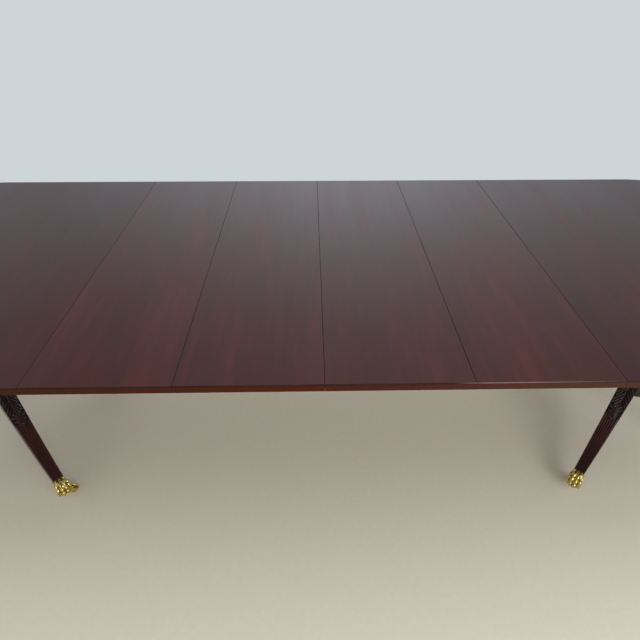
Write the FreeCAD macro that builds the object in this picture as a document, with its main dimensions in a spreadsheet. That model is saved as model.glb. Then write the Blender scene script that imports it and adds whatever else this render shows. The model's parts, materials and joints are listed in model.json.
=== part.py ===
# Double pedestal dining table with its four leaves in place, in millimetres.
# The origin is on the floor under the middle of the top: X runs along the table, Y to the rear, Z up.
import FreeCAD
import Part
import math
import os
import re
import Sketcher
from FreeCAD import Placement, Rotation, Vector

doc = FreeCAD.newDocument("pedestal_table")
dims = doc.addObject("Spreadsheet::Sheet", "dims")

sizes = {
    # top panels: two end tops and the leaves between them
    "table_height": 756,
    "top_width": 1117.6,
    "top_thickness": 19,
    "leaf_width": 304.8,
    "end_length": 914.4,
    "corner_radius": 330,
    "end_bow_radius": 1300,
    "arris_radius": 3.5,
    "seam_gap": 0.4,
    "seam_chamfer": 0.8,
    # alignment pins in the seams
    "pin_radius": 4,
    "pin_stub": 18,
    "pin_seat": 22,
    "pin_tip": 3,
    "pin_outer_offset": 410,
    "pin_inner_offset": 137,
    "socket_clearance": 0.3,
    "socket_spare": 3,
    # extension slides
    "rail_length": 1140,
    "rail_fixed_length": 760,
    "rail_height": 44,
    "rail_width": 30,
    "rail_clearance": 0.3,
    "slide_offset": 330,
    "key_depth": 9,
    "key_mouth": 12,
    "key_root": 19,
    "tie_width": 60,
    "tie_thickness": 18,
    "tie_drop": 2,
    # cleat across each end and block on each column
    "cleat_width": 60,
    "cleat_thickness": 26,
    "cleat_length": 620,
    "cleat_bevel": 9,
    "cleat_spacing": 16,
    "block_side": 340,
    "block_thickness": 32,
    "block_bevel": 10,
    # turned column
    "pedestal_reach": 518,
    "hub_radius": 60,
    "hub_bottom": 200,
    "hub_top": 366,
    "vase_radius": 66,
    "flange_radius": 80,
    "spigot_radius": 26,
    "spigot_length": 24,
    "joint_clearance": 0.1,
    "plate_radius": 54,
    "plate_thickness": 3,
    # sabre legs
    "leg_start": 45,
    "leg_crown_height": 384,
    "leg_under_height": 235,
    "leg_reach": 406,
    "leg_foot_height": 82,
    "foot_slope": 20,
    "foot_depth": 34,
    "under_radius": 1280,
    "leg_hub_width": 58,
    "leg_foot_width": 32,
    "tenon_depth": 18,
    "tenon_tip_width": 28,
    "tenon_neck_width": 20,
    "tenon_bottom": 245,
    "tenon_top": 335,
    "tenon_bite": 12,
    # reeds and the leaf on each leg's outer face
    "reed_radius": 2.6,
    "reed_sink": 1.1,
    "reed_margin": 1.2,
    "reed_start_angle": 0.9,
    "reed_span_angle": 19,
    "knee_rise": 3.5,
    "knee_length": 176,
    # paw feet
    "foot_reach": 405,
    "paw_bottom": 33,
    "bulb_radius": 24,
    "bulb_height": 27,
    "sole_radius": 15,
    "sole_height": 14,
    "collar_width": 41,
    "collar_depth": 42,
    "collar_corner": 11,
    "collar_back": 9,
    "collar_front": 8,
    "toe_pitch_angle": 33,
    # casters
    "wheel_radius": 14,
    "wheel_width": 13,
    "wheel_round": 3,
    "wheel_side_gap": 0.5,
    "trail": 28,
    "fork_cheek": 3,
    "fork_boss_radius": 6.5,
    "crown_radius": 11,
    "crown_thickness": 4,
    "crown_gap": 0.3,
    "stem_radius": 4,
    "stem_length": 18,
    "axle_radius": 2.5,
    "running_clearance": 0.05,
    # screws
    "screw_radius": 2.2,
    "screw_head_radius": 4.6,
    "screw_head_height": 2,
    "screw_bite": 12,
    "screw_inset": 32,
    # how far a cut runs past the solid that it cuts
    "overrun": 5,
}

# Turned profile above the hub: radius as a share of vase_radius, height as a share of the way from
# the hub's top to the column's top, and the rise of the edge that follows as a share of its chord.
turning_shares = [
    (0.91, 0.000, 0.42),
    (0.91, 0.047, 0.00),
    (0.73, 0.050, -0.22),
    (0.55, 0.112, 0.42),
    (0.55, 0.144, 0.00),
    (0.50, 0.146, 0.07),
    (1.00, 0.500, 0.26),
    (0.70, 0.605, 0.00),
    (0.64, 0.608, 0.42),
    (0.64, 0.645, 0.00),
    (0.57, 0.648, -0.16),
    (0.88, 0.838, 0.00),
    (0.97, 0.842, 0.42),
    (0.97, 0.886, 0.00),
]

# Outline of half the leaf on the knee, from the hub to its tip: distance along the leg as a share of
# knee_length, half width as a share of leg_hub_width, and the rise of the lobe that follows.
knee_shares = [
    (0.00, 0.40, 0.10),
    (0.26, 0.42, 0.24),
    (0.50, 0.36, 0.28),
    (0.72, 0.26, 0.30),
    (0.90, 0.13, 0.34),
    (1.00, 0.00, 0.00),
]

# Three bulges of a toe, from the knuckle to the tip: distance from the paw's axis, height above the
# sole and radius, each as a share of bulb_radius.
toe_shares = [
    (0.55, 1.42, 0.46),
    (0.86, 0.95, 0.40),
    (0.92, 0.42, 0.39),
]
# Places of the screws along a rail, as shares of rail_fixed_length.
rail_screw_shares = (0.08, 0.5, 0.92)
toe_count = 4
reed_count = 6
leaf_count = 4

# Which way each leg points, in degrees from X, and which way its caster trails as the table stands.
legs = {
    "left_front_inner": (-45, 53),
    "left_front_outer": (-135, 160),
    "left_rear_inner": (45, -20),
    "left_rear_outer": (135, 100),
    "right_front_inner": (-135, 62),
    "right_front_outer": (-45, 15),
    "right_rear_inner": (135, 200),
    "right_rear_outer": (45, -75),
}

for row, (name, size) in enumerate(sizes.items(), start=1):
    dims.set(f"A{row}", name)
    dims.set(f"B{row}", str(size))
    dims.setAlias(f"B{row}", name)
doc.recompute()

parts = {}


# Expressions are written with the sheet's names, and bound to its cells

def cells(text):
    return re.sub(r"[a-z_]+", lambda word: f"dims.{word[0]}" if word[0] in sizes else word[0], text)


def value(text):
    return float(dims.evalExpression(cells(text)))


def bind(item, target, text):
    item.setExpression(target, cells(text))


def place(item, x="0", y="0", z="0", turn="0", axis=Vector(0, 0, 1)):
    item.Placement = Placement(Vector(), Rotation(axis, value(turn)))
    bind(item, ".Placement.Rotation.Angle", turn)
    for letter, text in zip("xyz", (x, y, z)):
        bind(item, f".Placement.Base.{letter}", text)
    return item


# Sketches and features

def new_body(name):
    return doc.addObject("PartDesign::Body", name)


def copy_of(base, name):
    body = new_body(name)
    feature = body.newObject("PartDesign::FeatureBase", f"{name}_base")
    feature.BaseFeature = base
    body.Tip = feature
    return body


def sketch_on(body, name, plane, lift="0"):
    sketch = body.newObject("Sketcher::SketchObject", name)
    face = next(item for item in body.Origin.OriginFeatures if item.Role == plane)
    sketch.AttachmentSupport = [(face, "")]
    sketch.MapMode = "FlatFace"
    bind(sketch, "AttachmentOffset.Base.z", lift)
    return sketch


def fix_point(sketch, edge, corner, x, y):
    for kind, text in (("DistanceX", x), ("DistanceY", y)):
        number = sketch.addConstraint(Sketcher.Constraint(kind, -1, 1, edge, corner, value(text)))
        bind(sketch, f"Constraints[{number}]", text)


def fix_radius(sketch, edge, radius):
    number = sketch.addConstraint(Sketcher.Constraint("Radius", edge, value(radius)))
    bind(sketch, f"Constraints[{number}]", radius)


def circle(sketch, x, y, radius):
    edge = sketch.addGeometry(Part.Circle(Vector(value(x), value(y), 0), Vector(0, 0, 1), value(radius)))
    fix_point(sketch, edge, 3, x, y)
    fix_radius(sketch, edge, radius)


def rise_radius(start, end, share):
    chord = f"sqrt(({end[0]} - ({start[0]}))^2 + ({end[1]} - ({start[1]}))^2)"
    return f"{(0.25 + share * share) / (2 * abs(share))} * {chord}"


# Closed outline through points, counter-clockwise. arcs maps an edge's number to its radius and to
# 1 where it swells outward or -1 where it is hollow.
def outline(sketch, points, arcs):
    places = [Vector(value(x), value(y), 0) for x, y in points]
    edges = []
    for number, start in enumerate(places):
        end = places[(number + 1) % len(places)]
        curve = Part.LineSegment(start, end)
        if number in arcs:
            radius, side = arcs[number]
            chord = end - start
            reach = value(radius)
            rise = reach - math.sqrt(max(reach ** 2 - (chord.Length / 2) ** 2, 0))
            out = Vector(chord.y, -chord.x, 0).normalize()
            curve = Part.Arc(start, (start + end) / 2 + out * rise * side, end)
        edge = sketch.addGeometry(curve)
        ends = [sketch.getPoint(edge, corner).distanceToPoint(start) for corner in (1, 2)]
        edges.append((edge, 1 if ends[0] < ends[1] else 2))
    for number, (edge, first) in enumerate(edges):
        following, corner = edges[(number + 1) % len(edges)]
        sketch.addConstraint(Sketcher.Constraint("Coincident", edge, 3 - first, following, corner))
        fix_point(sketch, edge, first, *points[number])
        if number in arcs:
            fix_radius(sketch, edge, arcs[number][0])
    return sketch


def swept(kind, body, sketch, length, both_ways=False, reverse=False):
    feature = body.newObject(f"PartDesign::{kind}", f"{sketch.Name}_{kind.lower()}")
    feature.Profile = sketch
    feature.SideType = "Symmetric" if both_ways else "One side"
    feature.Reversed = reverse
    bind(feature, "Length", length)
    return feature


def revolve(body, sketch, axis):
    feature = body.newObject("PartDesign::Revolution", f"{sketch.Name}_turned")
    feature.Profile = sketch
    feature.ReferenceAxis = (sketch, [axis])
    return feature


def dress(kind, body, base, size, size_name, chosen):
    doc.recompute()
    feature = body.newObject(f"PartDesign::{kind}", f"{body.Name}_{kind.lower()}")
    names = [f"Edge{number}" for number, edge in enumerate(base.Shape.Edges, start=1) if chosen(edge)]
    feature.Base = (base, names)
    bind(feature, size_name, size)
    return feature


def is_level(edge, height):
    box = edge.BoundBox
    return box.ZLength < 1e-6 and abs(box.ZMin - height) < 1e-6


def group(name, items):
    bundle = doc.addObject("Part::Compound", name)
    bundle.Links = items
    return bundle


# Top panels

underside = "(table_height - top_thickness)"
first_seam = f"({leaf_count / 2} * leaf_width + {(leaf_count + 1) / 2} * seam_gap)"
pin_offsets = ("-pin_outer_offset", "-pin_inner_offset", "pin_inner_offset", "pin_outer_offset")
socket_radius = "pin_radius + socket_clearance"
socket_depth = "pin_stub + socket_spare"


def seam_chamfer(body, name, seam, thickness):
    sketch = sketch_on(body, name, "XZ_Plane")
    outline(sketch, [
        (f"{seam} - overrun", f"{thickness} - seam_chamfer - overrun"),
        (f"{seam} + seam_chamfer + overrun", f"{thickness} + overrun"),
        (f"{seam} - overrun", f"{thickness} + overrun"),
    ], {})
    return swept("Pocket", body, sketch, "top_width + 2 * overrun", both_ways=True)


def pin_holes(body, name, seam, thickness, radius, depth, toward_x):
    sketch = sketch_on(body, name, "YZ_Plane", seam)
    for offset in pin_offsets:
        circle(sketch, offset, f"{thickness} - top_thickness / 2", radius)
    return swept("Pocket", body, sketch, depth, reverse=toward_x)


# An end top runs from its seam at x = 0 to its bowed end, with its underside at z = 0.
def end_top(name, hole_radius, hole_depth):
    body = new_body(name)
    inset = "(top_width / 2 - corner_radius)"
    spread = "(end_bow_radius - corner_radius)"
    run = f"sqrt({spread}^2 - {inset}^2)"
    straight = f"end_length - end_bow_radius + {run}"
    turn_x = f"end_length - end_bow_radius + end_bow_radius * {run} / {spread}"
    turn_y = f"end_bow_radius * {inset} / {spread}"
    sketch = outline(sketch_on(body, f"{name}_outline", "XY_Plane"), [
        ("0", "-top_width / 2"),
        (straight, "-top_width / 2"),
        (turn_x, f"-{turn_y}"),
        (turn_x, turn_y),
        (straight, "top_width / 2"),
        ("0", "top_width / 2"),
    ], {1: ("corner_radius", 1), 2: ("end_bow_radius", 1), 3: ("corner_radius", 1)})
    slab = swept("Pad", body, sketch, "top_thickness")
    top = value("top_thickness")
    dress("Fillet", body, slab, "arris_radius", "Radius",
          lambda edge: edge.BoundBox.XMax > 1e-6 and (is_level(edge, 0) or is_level(edge, top)))
    seam_chamfer(body, f"{name}_seam", "0", "top_thickness")
    pin_holes(body, f"{name}_holes", "0", "top_thickness", hole_radius, hole_depth, True)
    return body


# A leaf is centred on x = 0. It is thinner than the ends by the clearance over the rails.
def leaf_panel():
    body = new_body("leaf")
    thickness = "(top_thickness - rail_clearance)"
    corners = [(f"{side} * leaf_width / 2", f"{end} * top_width / 2")
               for side, end in ((-1, -1), (1, -1), (1, 1), (-1, 1))]
    sketch = outline(sketch_on(body, "leaf_outline", "XY_Plane"), corners, {})
    slab = swept("Pad", body, sketch, thickness)
    dress("Fillet", body, slab, "arris_radius", "Radius",
          lambda edge: edge.BoundBox.YLength < 1e-6 and edge.BoundBox.ZLength < 1e-6)
    cut = seam_chamfer(body, "leaf_seam", "-leaf_width / 2", thickness)
    mirror = body.newObject("PartDesign::Mirrored", "leaf_seams")
    mirror.Originals = [cut]
    mirror.MirrorPlane = (next(item for item in body.Origin.OriginFeatures if item.Role == "YZ_Plane"), [""])
    body.Tip = mirror
    pin_holes(body, "leaf_seats", "-leaf_width / 2", thickness, "pin_radius", "pin_seat", True)
    pin_holes(body, "leaf_sockets", "leaf_width / 2", thickness, socket_radius, socket_depth, False)
    return body


# A row of pins lies across the table with its seam at x = 0: the stubs point to -X.
def pin_row():
    pin = new_body("pin")
    sketch = outline(sketch_on(pin, "pin_profile", "XZ_Plane"), [
        ("-pin_stub", "0"),
        ("pin_seat", "0"),
        ("pin_seat", "pin_radius"),
        ("pin_tip - pin_stub", "pin_radius"),
        ("-pin_stub", "pin_radius / 2"),
    ], {})
    revolve(pin, sketch, "H_Axis")
    return [place(copy_of(pin, f"pin_{number}"), y=offset)
            for number, offset in enumerate(pin_offsets, start=1)]


parts["left_end_top"] = place(end_top("left_end_top", socket_radius, socket_depth),
                              x=f"-{first_seam}", z=underside, turn="180")
parts["right_end_top"] = place(end_top("right_end_top", "pin_radius", "pin_seat"), x=first_seam, z=underside)
leaf = leaf_panel()
pins = pin_row()
pin_level = "table_height - top_thickness / 2"
for number in range(1, leaf_count + 1):
    middle = f"{number - (leaf_count + 1) / 2} * (leaf_width + seam_gap)"
    parts[f"leaf_{number}"] = place(copy_of(leaf, f"leaf_{number}"), x=middle,
                                    z=f"{underside} + rail_clearance")
    parts[f"leaf_{number}_pins"] = place(group(f"leaf_{number}_pins", pins),
                                         x=f"{middle} - leaf_width / 2", z=pin_level)
parts["right_end_pins"] = place(group("right_end_pins", pins), x=first_seam, z=pin_level)


# Extension slides: a grooved rail on each end top runs on the dovetailed keys of a middle rail

def grooved_rail():
    body = new_body("grooved_rail")
    mouth = "(key_mouth / 2 + rail_clearance)"
    root = "(key_root / 2 + rail_clearance)"
    sketch = outline(sketch_on(body, "grooved_rail_section", "YZ_Plane"), [
        ("0", "-rail_height"),
        ("rail_width", "-rail_height"),
        ("rail_width", f"-rail_height / 2 - {mouth}"),
        ("rail_width - key_depth", f"-rail_height / 2 - {root}"),
        ("rail_width - key_depth", f"-rail_height / 2 + {root}"),
        ("rail_width", f"-rail_height / 2 + {mouth}"),
        ("rail_width", "0"),
        ("0", "0"),
    ], {})
    swept("Pad", body, sketch, "rail_length")
    return body


def keyed_rail():
    body = new_body("keyed_rail")
    section = []
    for side in (1, -1):
        section += [(f"{side} * {across}", f"{height}") for across, height in (
            ("rail_width / 2", f"-rail_height / 2 - {side} * key_mouth / 2"),
            ("(rail_width / 2 + key_depth)", f"-rail_height / 2 - {side} * key_root / 2"),
            ("(rail_width / 2 + key_depth)", f"-rail_height / 2 + {side} * key_root / 2"),
            ("rail_width / 2", f"-rail_height / 2 + {side} * key_mouth / 2"),
        )]
        level = "-rail_clearance" if side == 1 else "-rail_height - tie_drop"
        section += [("rail_width / 2", level), ("-rail_width / 2", level)][::side]
    sketch = outline(sketch_on(body, "keyed_rail_section", "YZ_Plane"), section, {})
    swept("Pad", body, sketch, "rail_length", both_ways=True)
    return body


grooved = grooved_rail()
keyed = keyed_rail()
rail_end = f"({first_seam} + rail_fixed_length)"
key_line = "(slide_offset - 1.5 * rail_width - rail_clearance)"
inner_line = "(slide_offset - 3 * rail_width - 2 * rail_clearance)"
for row, side, turn in (("front", -1, 0), ("rear", 1, 180)):
    # The turned copies run the other way along X, so they start from their other end.
    parts[f"left_rail_{row}"] = place(
        copy_of(grooved, f"left_rail_{row}"), y=f"{side} * slide_offset", z=underside, turn=f"{turn}",
        x=f"-{rail_end}" if turn == 0 else f"rail_length - {rail_end}")
    parts[f"right_rail_{row}"] = place(
        copy_of(grooved, f"right_rail_{row}"), y=f"{side} * {inner_line}", z=underside, turn=f"{180 - turn}",
        x=rail_end if turn == 0 else f"{rail_end} - rail_length")
    parts[f"centre_rail_{row}"] = place(copy_of(keyed, f"centre_rail_{row}"),
                                        y=f"{side} * {key_line}", z=underside)

tie = doc.addObject("Part::Box", "centre_tie")
bind(tie, "Length", "tie_width")
bind(tie, "Width", f"2 * {key_line} + rail_width")
bind(tie, "Height", "tie_thickness")
parts["centre_tie"] = place(tie, x="-tie_width / 2", y=f"-{key_line} - rail_width / 2",
                            z=f"{underside} - rail_height - tie_drop - tie_thickness")


# Cleat and block under each end top, their upper faces at z = 0

def cleat_bar():
    body = new_body("cleat")
    sketch = outline(sketch_on(body, "cleat_section", "XZ_Plane"), [
        ("0", "0"),
        ("0", "cleat_bevel - cleat_thickness"),
        ("cleat_bevel", "-cleat_thickness"),
        ("cleat_width - cleat_bevel", "-cleat_thickness"),
        ("cleat_width", "cleat_bevel - cleat_thickness"),
        ("cleat_width", "0"),
    ], {})
    swept("Pad", body, sketch, "cleat_length", both_ways=True)
    return body


def pedestal_block():
    body = new_body("block")
    corners = [(f"{x} * block_side / 2", f"{y} * block_side / 2")
               for x, y in ((-1, -1), (1, -1), (1, 1), (-1, 1))]
    sketch = outline(sketch_on(body, "block_outline", "XY_Plane"), corners, {})
    slab = swept("Pad", body, sketch, "block_thickness", reverse=True)
    low = -value("block_thickness")
    dress("Chamfer", body, slab, "block_bevel", "Size", lambda edge: is_level(edge, low))
    mortise = sketch_on(body, "block_mortise", "XY_Plane", "-block_thickness")
    circle(mortise, "0", "0", "spigot_radius + joint_clearance")
    swept("Pocket", body, mortise, "spigot_length + joint_clearance", reverse=True)
    return body


# Pedestal: its own axis is at x = 0, its height is the table's and a leg points along X

column_top = f"({underside} - block_thickness)"


def tenon_outline(sketch, spare):
    tip = f"hub_radius - tenon_depth - {spare}"
    half_tip = f"(tenon_tip_width / 2 + {spare})"
    half_neck = f"(tenon_neck_width / 2 + {spare})"
    return outline(sketch, [
        (tip, f"-{half_tip}"),
        ("hub_radius", f"-{half_neck}"),
        ("hub_radius + tenon_bite", f"-{half_neck}"),
        ("hub_radius + tenon_bite", half_neck),
        ("hub_radius", half_neck),
        (tip, half_tip),
    ], {})


def turned_column():
    body = new_body("column")
    turned = f"({column_top} - hub_top)"
    points = [("0", "hub_bottom"), ("hub_radius", "hub_bottom")]
    arcs = {}
    for radius_share, height_share, rise_share in turning_shares:
        points.append((f"{radius_share} * vase_radius", f"hub_top + {height_share} * {turned}"))
        if rise_share:
            arcs[len(points) - 1] = rise_share
    points += [
        ("flange_radius", points[-1][1]),
        ("flange_radius", column_top),
        ("spigot_radius", column_top),
        ("spigot_radius", f"{column_top} + spigot_length"),
        ("0", f"{column_top} + spigot_length"),
    ]
    curves = {number: (rise_radius(points[number], points[number + 1], share), math.copysign(1, share))
              for number, share in arcs.items()}
    sketch = outline(sketch_on(body, "column_profile", "XZ_Plane"), points, curves)
    revolve(body, sketch, "V_Axis")
    mortise = tenon_outline(sketch_on(body, "column_mortise", "XY_Plane", "hub_bottom"), "joint_clearance")
    slot = swept("Pocket", body, mortise, "tenon_top + joint_clearance - hub_bottom", reverse=True)
    ring = body.newObject("PartDesign::PolarPattern", "column_mortises")
    ring.Originals = [slot]
    ring.Axis = (next(item for item in body.Origin.OriginFeatures if item.Role == "Z_Axis"), [""])
    ring.Angle = 360
    ring.Occurrences = 4
    body.Tip = ring
    return body


# The outer face of a leg is an arc, square to the foot's end and through the crown. Its centre lies
# above the leg, and a place on the face is an angle from straight down, seen from that centre.
fall = "(leg_crown_height - leg_foot_height)"
run_in = "(leg_reach - leg_start)"
face_radius = f"(({fall}^2 + {run_in}^2) / (2 * ({fall} * cos(foot_slope) - {run_in} * sin(foot_slope))))"
face_x = f"(leg_reach + {face_radius} * sin(foot_slope))"
face_z = f"(leg_foot_height + {face_radius} * cos(foot_slope))"
taper = "((leg_hub_width - leg_foot_width) / 2 / (leg_reach - hub_radius))"


def half_width(reach):
    return f"(leg_hub_width / 2 - {taper} * ({reach} - hub_radius))"


def leg_blank():
    body = new_body("leg_blank")
    side = outline(sketch_on(body, "leg_side", "XZ_Plane"), [
        ("leg_start", "leg_under_height"),
        ("leg_reach - foot_depth * sin(foot_slope)", "leg_foot_height - foot_depth * cos(foot_slope)"),
        ("leg_reach", "leg_foot_height"),
        ("leg_start", "leg_crown_height"),
    ], {0: ("under_radius", 1), 2: (face_radius, -1)})
    swept("Pad", body, side, "leg_hub_width + 2 * overrun", both_ways=True)
    plan = sketch_on(body, "leg_plan", "XY_Plane")
    near = "(leg_start - overrun)"
    far = "(leg_reach + overrun)"
    outline(plan, [(near, f"-{half_width(near)}"), (far, f"-{half_width(far)}"),
                   (far, half_width(far)), (near, half_width(near))], {})
    outline(plan, [(f"{x} {grow} overrun", f"{side} * (leg_hub_width + overrun)") for x, grow, side in (
        (near, "-", -1), (far, "+", -1), (far, "+", 1), (near, "-", 1))], {})
    swept("Pocket", body, plan, "2 * (leg_crown_height + overrun)", both_ways=True)
    hub = sketch_on(body, "leg_hub", "XY_Plane")
    circle(hub, "0", "0", "hub_radius + joint_clearance")
    swept("Pocket", body, hub, "2 * (leg_crown_height + overrun)", both_ways=True)
    tenon = tenon_outline(sketch_on(body, "leg_tenon", "XY_Plane", "tenon_bottom"), "0")
    swept("Pad", body, tenon, "tenon_top - tenon_bottom")
    return body


# The reeds are rings about the face's centre, fanned from the point where the leg's sides would meet.
def leg_reeds():
    start = "(foot_slope + reed_start_angle)"
    ring_radius = f"({face_radius} + reed_sink)"
    section = doc.addObject("Part::Circle", "reed_section")
    bind(section, "Radius", "reed_radius")
    place(section, x=f"{face_x} - {ring_radius} * sin({start})", z=f"{face_z} - {ring_radius} * cos({start})",
          turn=f"{start} - 90", axis=Vector(0, 1, 0))
    apex = f"(hub_radius + leg_hub_width / 2 / {taper})"
    step = (f"(2 * (leg_foot_width / 2 - reed_radius - reed_margin)"
            f" / {reed_count - 1} / ({apex} - leg_reach))")
    reeds = []
    for number in range(reed_count):
        reed = doc.addObject("Part::Revolution", f"reed_{number + 1}")
        reed.Source = section
        reed.Axis = Vector(0, 1, 0)
        reed.Solid = True
        bind(reed, "Base.x", face_x)
        bind(reed, "Base.z", face_z)
        bind(reed, "Angle", "reed_span_angle")
        fan = f"atan({number - (reed_count - 1) / 2} * {step})"
        reeds.append(place(reed, x=f"{apex} * (1 - cos({fan}))", y=f"-{apex} * sin({fan})", turn=fan))
    return reeds


# The leaf on the knee is a lobed outline seen from above, raised a little off the face.
def knee_leaf():
    band = new_body("knee_band")
    skin_radius = f"({face_radius} - knee_rise)"
    deep_radius = f"({face_radius} + overrun)"
    near = "(hub_radius + joint_clearance)"
    far = "(hub_radius + knee_length + overrun)"

    def on_arc(radius, reach):
        return reach, f"{face_z} - sqrt({radius}^2 - ({face_x} - {reach})^2)"

    outline(sketch_on(band, "knee_side", "XZ_Plane"), [
        on_arc(deep_radius, near),
        on_arc(deep_radius, far),
        on_arc(skin_radius, far),
        on_arc(skin_radius, near),
    ], {0: (deep_radius, 1), 2: (skin_radius, -1)})
    swept("Pad", band, doc.getObject("knee_side"), "leg_hub_width", both_ways=True)
    lobes = new_body("knee_lobes")
    lower = [(f"hub_radius + {along} * knee_length", f"-{half} * leg_hub_width", rise)
             for along, half, rise in knee_shares]
    upper = [(lower[number][0], f"{knee_shares[number][1]} * leg_hub_width", lower[number - 1][2])
             for number in range(len(lower) - 1, 0, -1)]
    rim = lower[:-1] + upper + [(lower[0][0], f"{knee_shares[0][1]} * leg_hub_width", 0)]
    points = [(x, y) for x, y, rise in rim]
    arcs = {number: (rise_radius(points[number], points[(number + 1) % len(points)], rise), 1)
            for number, (x, y, rise) in enumerate(rim) if rise}
    sketch = outline(sketch_on(lobes, "knee_plan", "XY_Plane"), points, arcs)
    swept("Pad", lobes, sketch, "leg_crown_height + overrun")
    leaf_solid = doc.addObject("Part::Common", "knee_leaf")
    leaf_solid.Base = band
    leaf_solid.Tool = lobes
    return leaf_solid


def carved_leg():
    leg = doc.addObject("Part::MultiFuse", "leg")
    leg.Shapes = [leg_blank(), knee_leaf()] + leg_reeds()
    return leg


# A paw is a bulb with four toes of three bulges each, under a collar that sleeves the leg's end.
def paw_foot(leg):
    bulb = doc.addObject("Part::Sphere", "paw_bulb")
    bind(bulb, "Radius", "bulb_radius")
    place(bulb, x="foot_reach", z="paw_bottom + bulb_height")
    sole = doc.addObject("Part::Cylinder", "paw_sole")
    bind(sole, "Radius", "sole_radius")
    bind(sole, "Height", "sole_height")
    place(sole, x="foot_reach", z="paw_bottom")
    collar = new_body("paw_collar")
    points = []
    for y, z in ((-1, -1), (1, -1), (1, 1), (-1, 1)):
        beside = (f"{y} * (collar_width / 2 - collar_corner)", f"{z} * collar_depth / 2")
        above = (f"{y} * collar_width / 2", f"{z} * (collar_depth / 2 - collar_corner)")
        points += [above, beside] if y == z else [beside, above]
    outline(sketch_on(collar, "paw_collar_section", "YZ_Plane"), points,
            {number: ("collar_corner", 1) for number in (0, 2, 4, 6)})
    swept("Pad", collar, doc.getObject("paw_collar_section"), "collar_back + collar_front")
    place(collar, turn="foot_slope", axis=Vector(0, 1, 0),
          x="leg_reach - foot_depth / 2 * sin(foot_slope) - collar_back * cos(foot_slope)",
          z="leg_foot_height - foot_depth / 2 * cos(foot_slope) + collar_back * sin(foot_slope)")
    pieces = [bulb, sole, collar]
    for toe in range(toe_count):
        angle = f"({toe - (toe_count - 1) / 2} * toe_pitch_angle)"
        for number, (reach_share, height_share, radius_share) in enumerate(toe_shares, start=1):
            ball = doc.addObject("Part::Sphere", f"toe_{toe + 1}_{number}")
            bind(ball, "Radius", f"{radius_share} * bulb_radius")
            pieces.append(place(ball, x=f"foot_reach + {reach_share} * bulb_radius * cos{angle}",
                                y=f"{reach_share} * bulb_radius * sin{angle}",
                                z=f"paw_bottom + {height_share} * bulb_radius"))
    solid = doc.addObject("Part::MultiFuse", "paw_solid")
    solid.Shapes = pieces
    bore = doc.addObject("Part::Cylinder", "paw_bore")
    bind(bore, "Radius", "stem_radius + running_clearance")
    bind(bore, "Height", "stem_length + overrun")
    place(bore, x="foot_reach", z="paw_bottom - overrun / 2")
    bored = doc.addObject("Part::Cut", "paw_bored")
    bored.Base = solid
    bored.Tool = bore
    paw = doc.addObject("Part::Cut", "paw")
    paw.Base = bored
    paw.Tool = leg
    return paw


def hub_plate():
    body = new_body("hub_plate")
    sketch = sketch_on(body, "hub_plate_outline", "XY_Plane", "hub_bottom")
    circle(sketch, "0", "0", "plate_radius")
    swept("Pad", body, sketch, "plate_thickness", reverse=True)
    return body


# Caster: the swivel axis is at x = 0, and the fork trails along X
fork_half = "(wheel_width / 2 + wheel_side_gap + fork_cheek)"
crown_top = "(paw_bottom - crown_gap)"


def caster_fork():
    body = new_body("fork")
    low = f"({crown_top} - crown_thickness)"
    boss = [(f"trail + fork_boss_radius * cos({angle})", f"wheel_radius + fork_boss_radius * sin({angle})")
            for angle in (-125, -35, 55)]
    side = outline(sketch_on(body, "fork_side", "XZ_Plane"), [
        ("-crown_radius / 2", low),
        *boss,
        ("crown_radius", crown_top),
        ("-crown_radius / 2", crown_top),
    ], {1: ("fork_boss_radius", 1), 2: ("fork_boss_radius", 1)})
    swept("Pad", body, side, f"2 * {fork_half}", both_ways=True)
    slot = outline(sketch_on(body, "fork_slot", "XY_Plane"), [
        ("trail - wheel_radius - 2 * wheel_side_gap", "-wheel_width / 2 - wheel_side_gap"),
        ("trail + wheel_radius", "-wheel_width / 2 - wheel_side_gap"),
        ("trail + wheel_radius", "wheel_width / 2 + wheel_side_gap"),
        ("trail - wheel_radius - 2 * wheel_side_gap", "wheel_width / 2 + wheel_side_gap"),
    ], {})
    swept("Pocket", body, slot, "paw_bottom", reverse=True)
    crown = sketch_on(body, "fork_crown", "XY_Plane", low)
    circle(crown, "0", "0", "crown_radius")
    swept("Pad", body, crown, "crown_thickness")
    stem = sketch_on(body, "fork_stem", "XY_Plane", low)
    circle(stem, "0", "0", "stem_radius")
    swept("Pad", body, stem, "crown_thickness + stem_length")
    eye = sketch_on(body, "fork_eye", "XZ_Plane")
    circle(eye, "trail", "wheel_radius", "axle_radius")
    swept("Pocket", body, eye, f"2 * ({fork_half} + overrun)", both_ways=True)
    axle = doc.addObject("Part::Cylinder", "axle")
    bind(axle, "Radius", "axle_radius")
    bind(axle, "Height", f"2 * {fork_half}")
    place(axle, x="trail", y=fork_half, z="wheel_radius", turn="90", axis=Vector(1, 0, 0))
    return [body, axle]


def caster_wheel():
    body = new_body("wheel")
    bore = "(axle_radius + running_clearance)"
    sketch = outline(sketch_on(body, "wheel_profile", "YZ_Plane"), [
        ("-wheel_width / 2", f"wheel_radius + {bore}"),
        ("wheel_width / 2", f"wheel_radius + {bore}"),
        ("wheel_width / 2", "2 * wheel_radius - wheel_round"),
        ("wheel_width / 2 - wheel_round", "2 * wheel_radius"),
        ("wheel_round - wheel_width / 2", "2 * wheel_radius"),
        ("-wheel_width / 2", "2 * wheel_radius - wheel_round"),
    ], {2: ("wheel_round", 1), 4: ("wheel_round", 1)})
    axis = sketch.addGeometry(Part.LineSegment(Vector(0, value("wheel_radius"), 0),
                                               Vector(value("wheel_width"), value("wheel_radius"), 0)), True)
    fix_point(sketch, axis, 1, "0", "wheel_radius")
    fix_point(sketch, axis, 2, "wheel_width", "wheel_radius")
    revolve(body, sketch, "Axis0")
    return body


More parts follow.
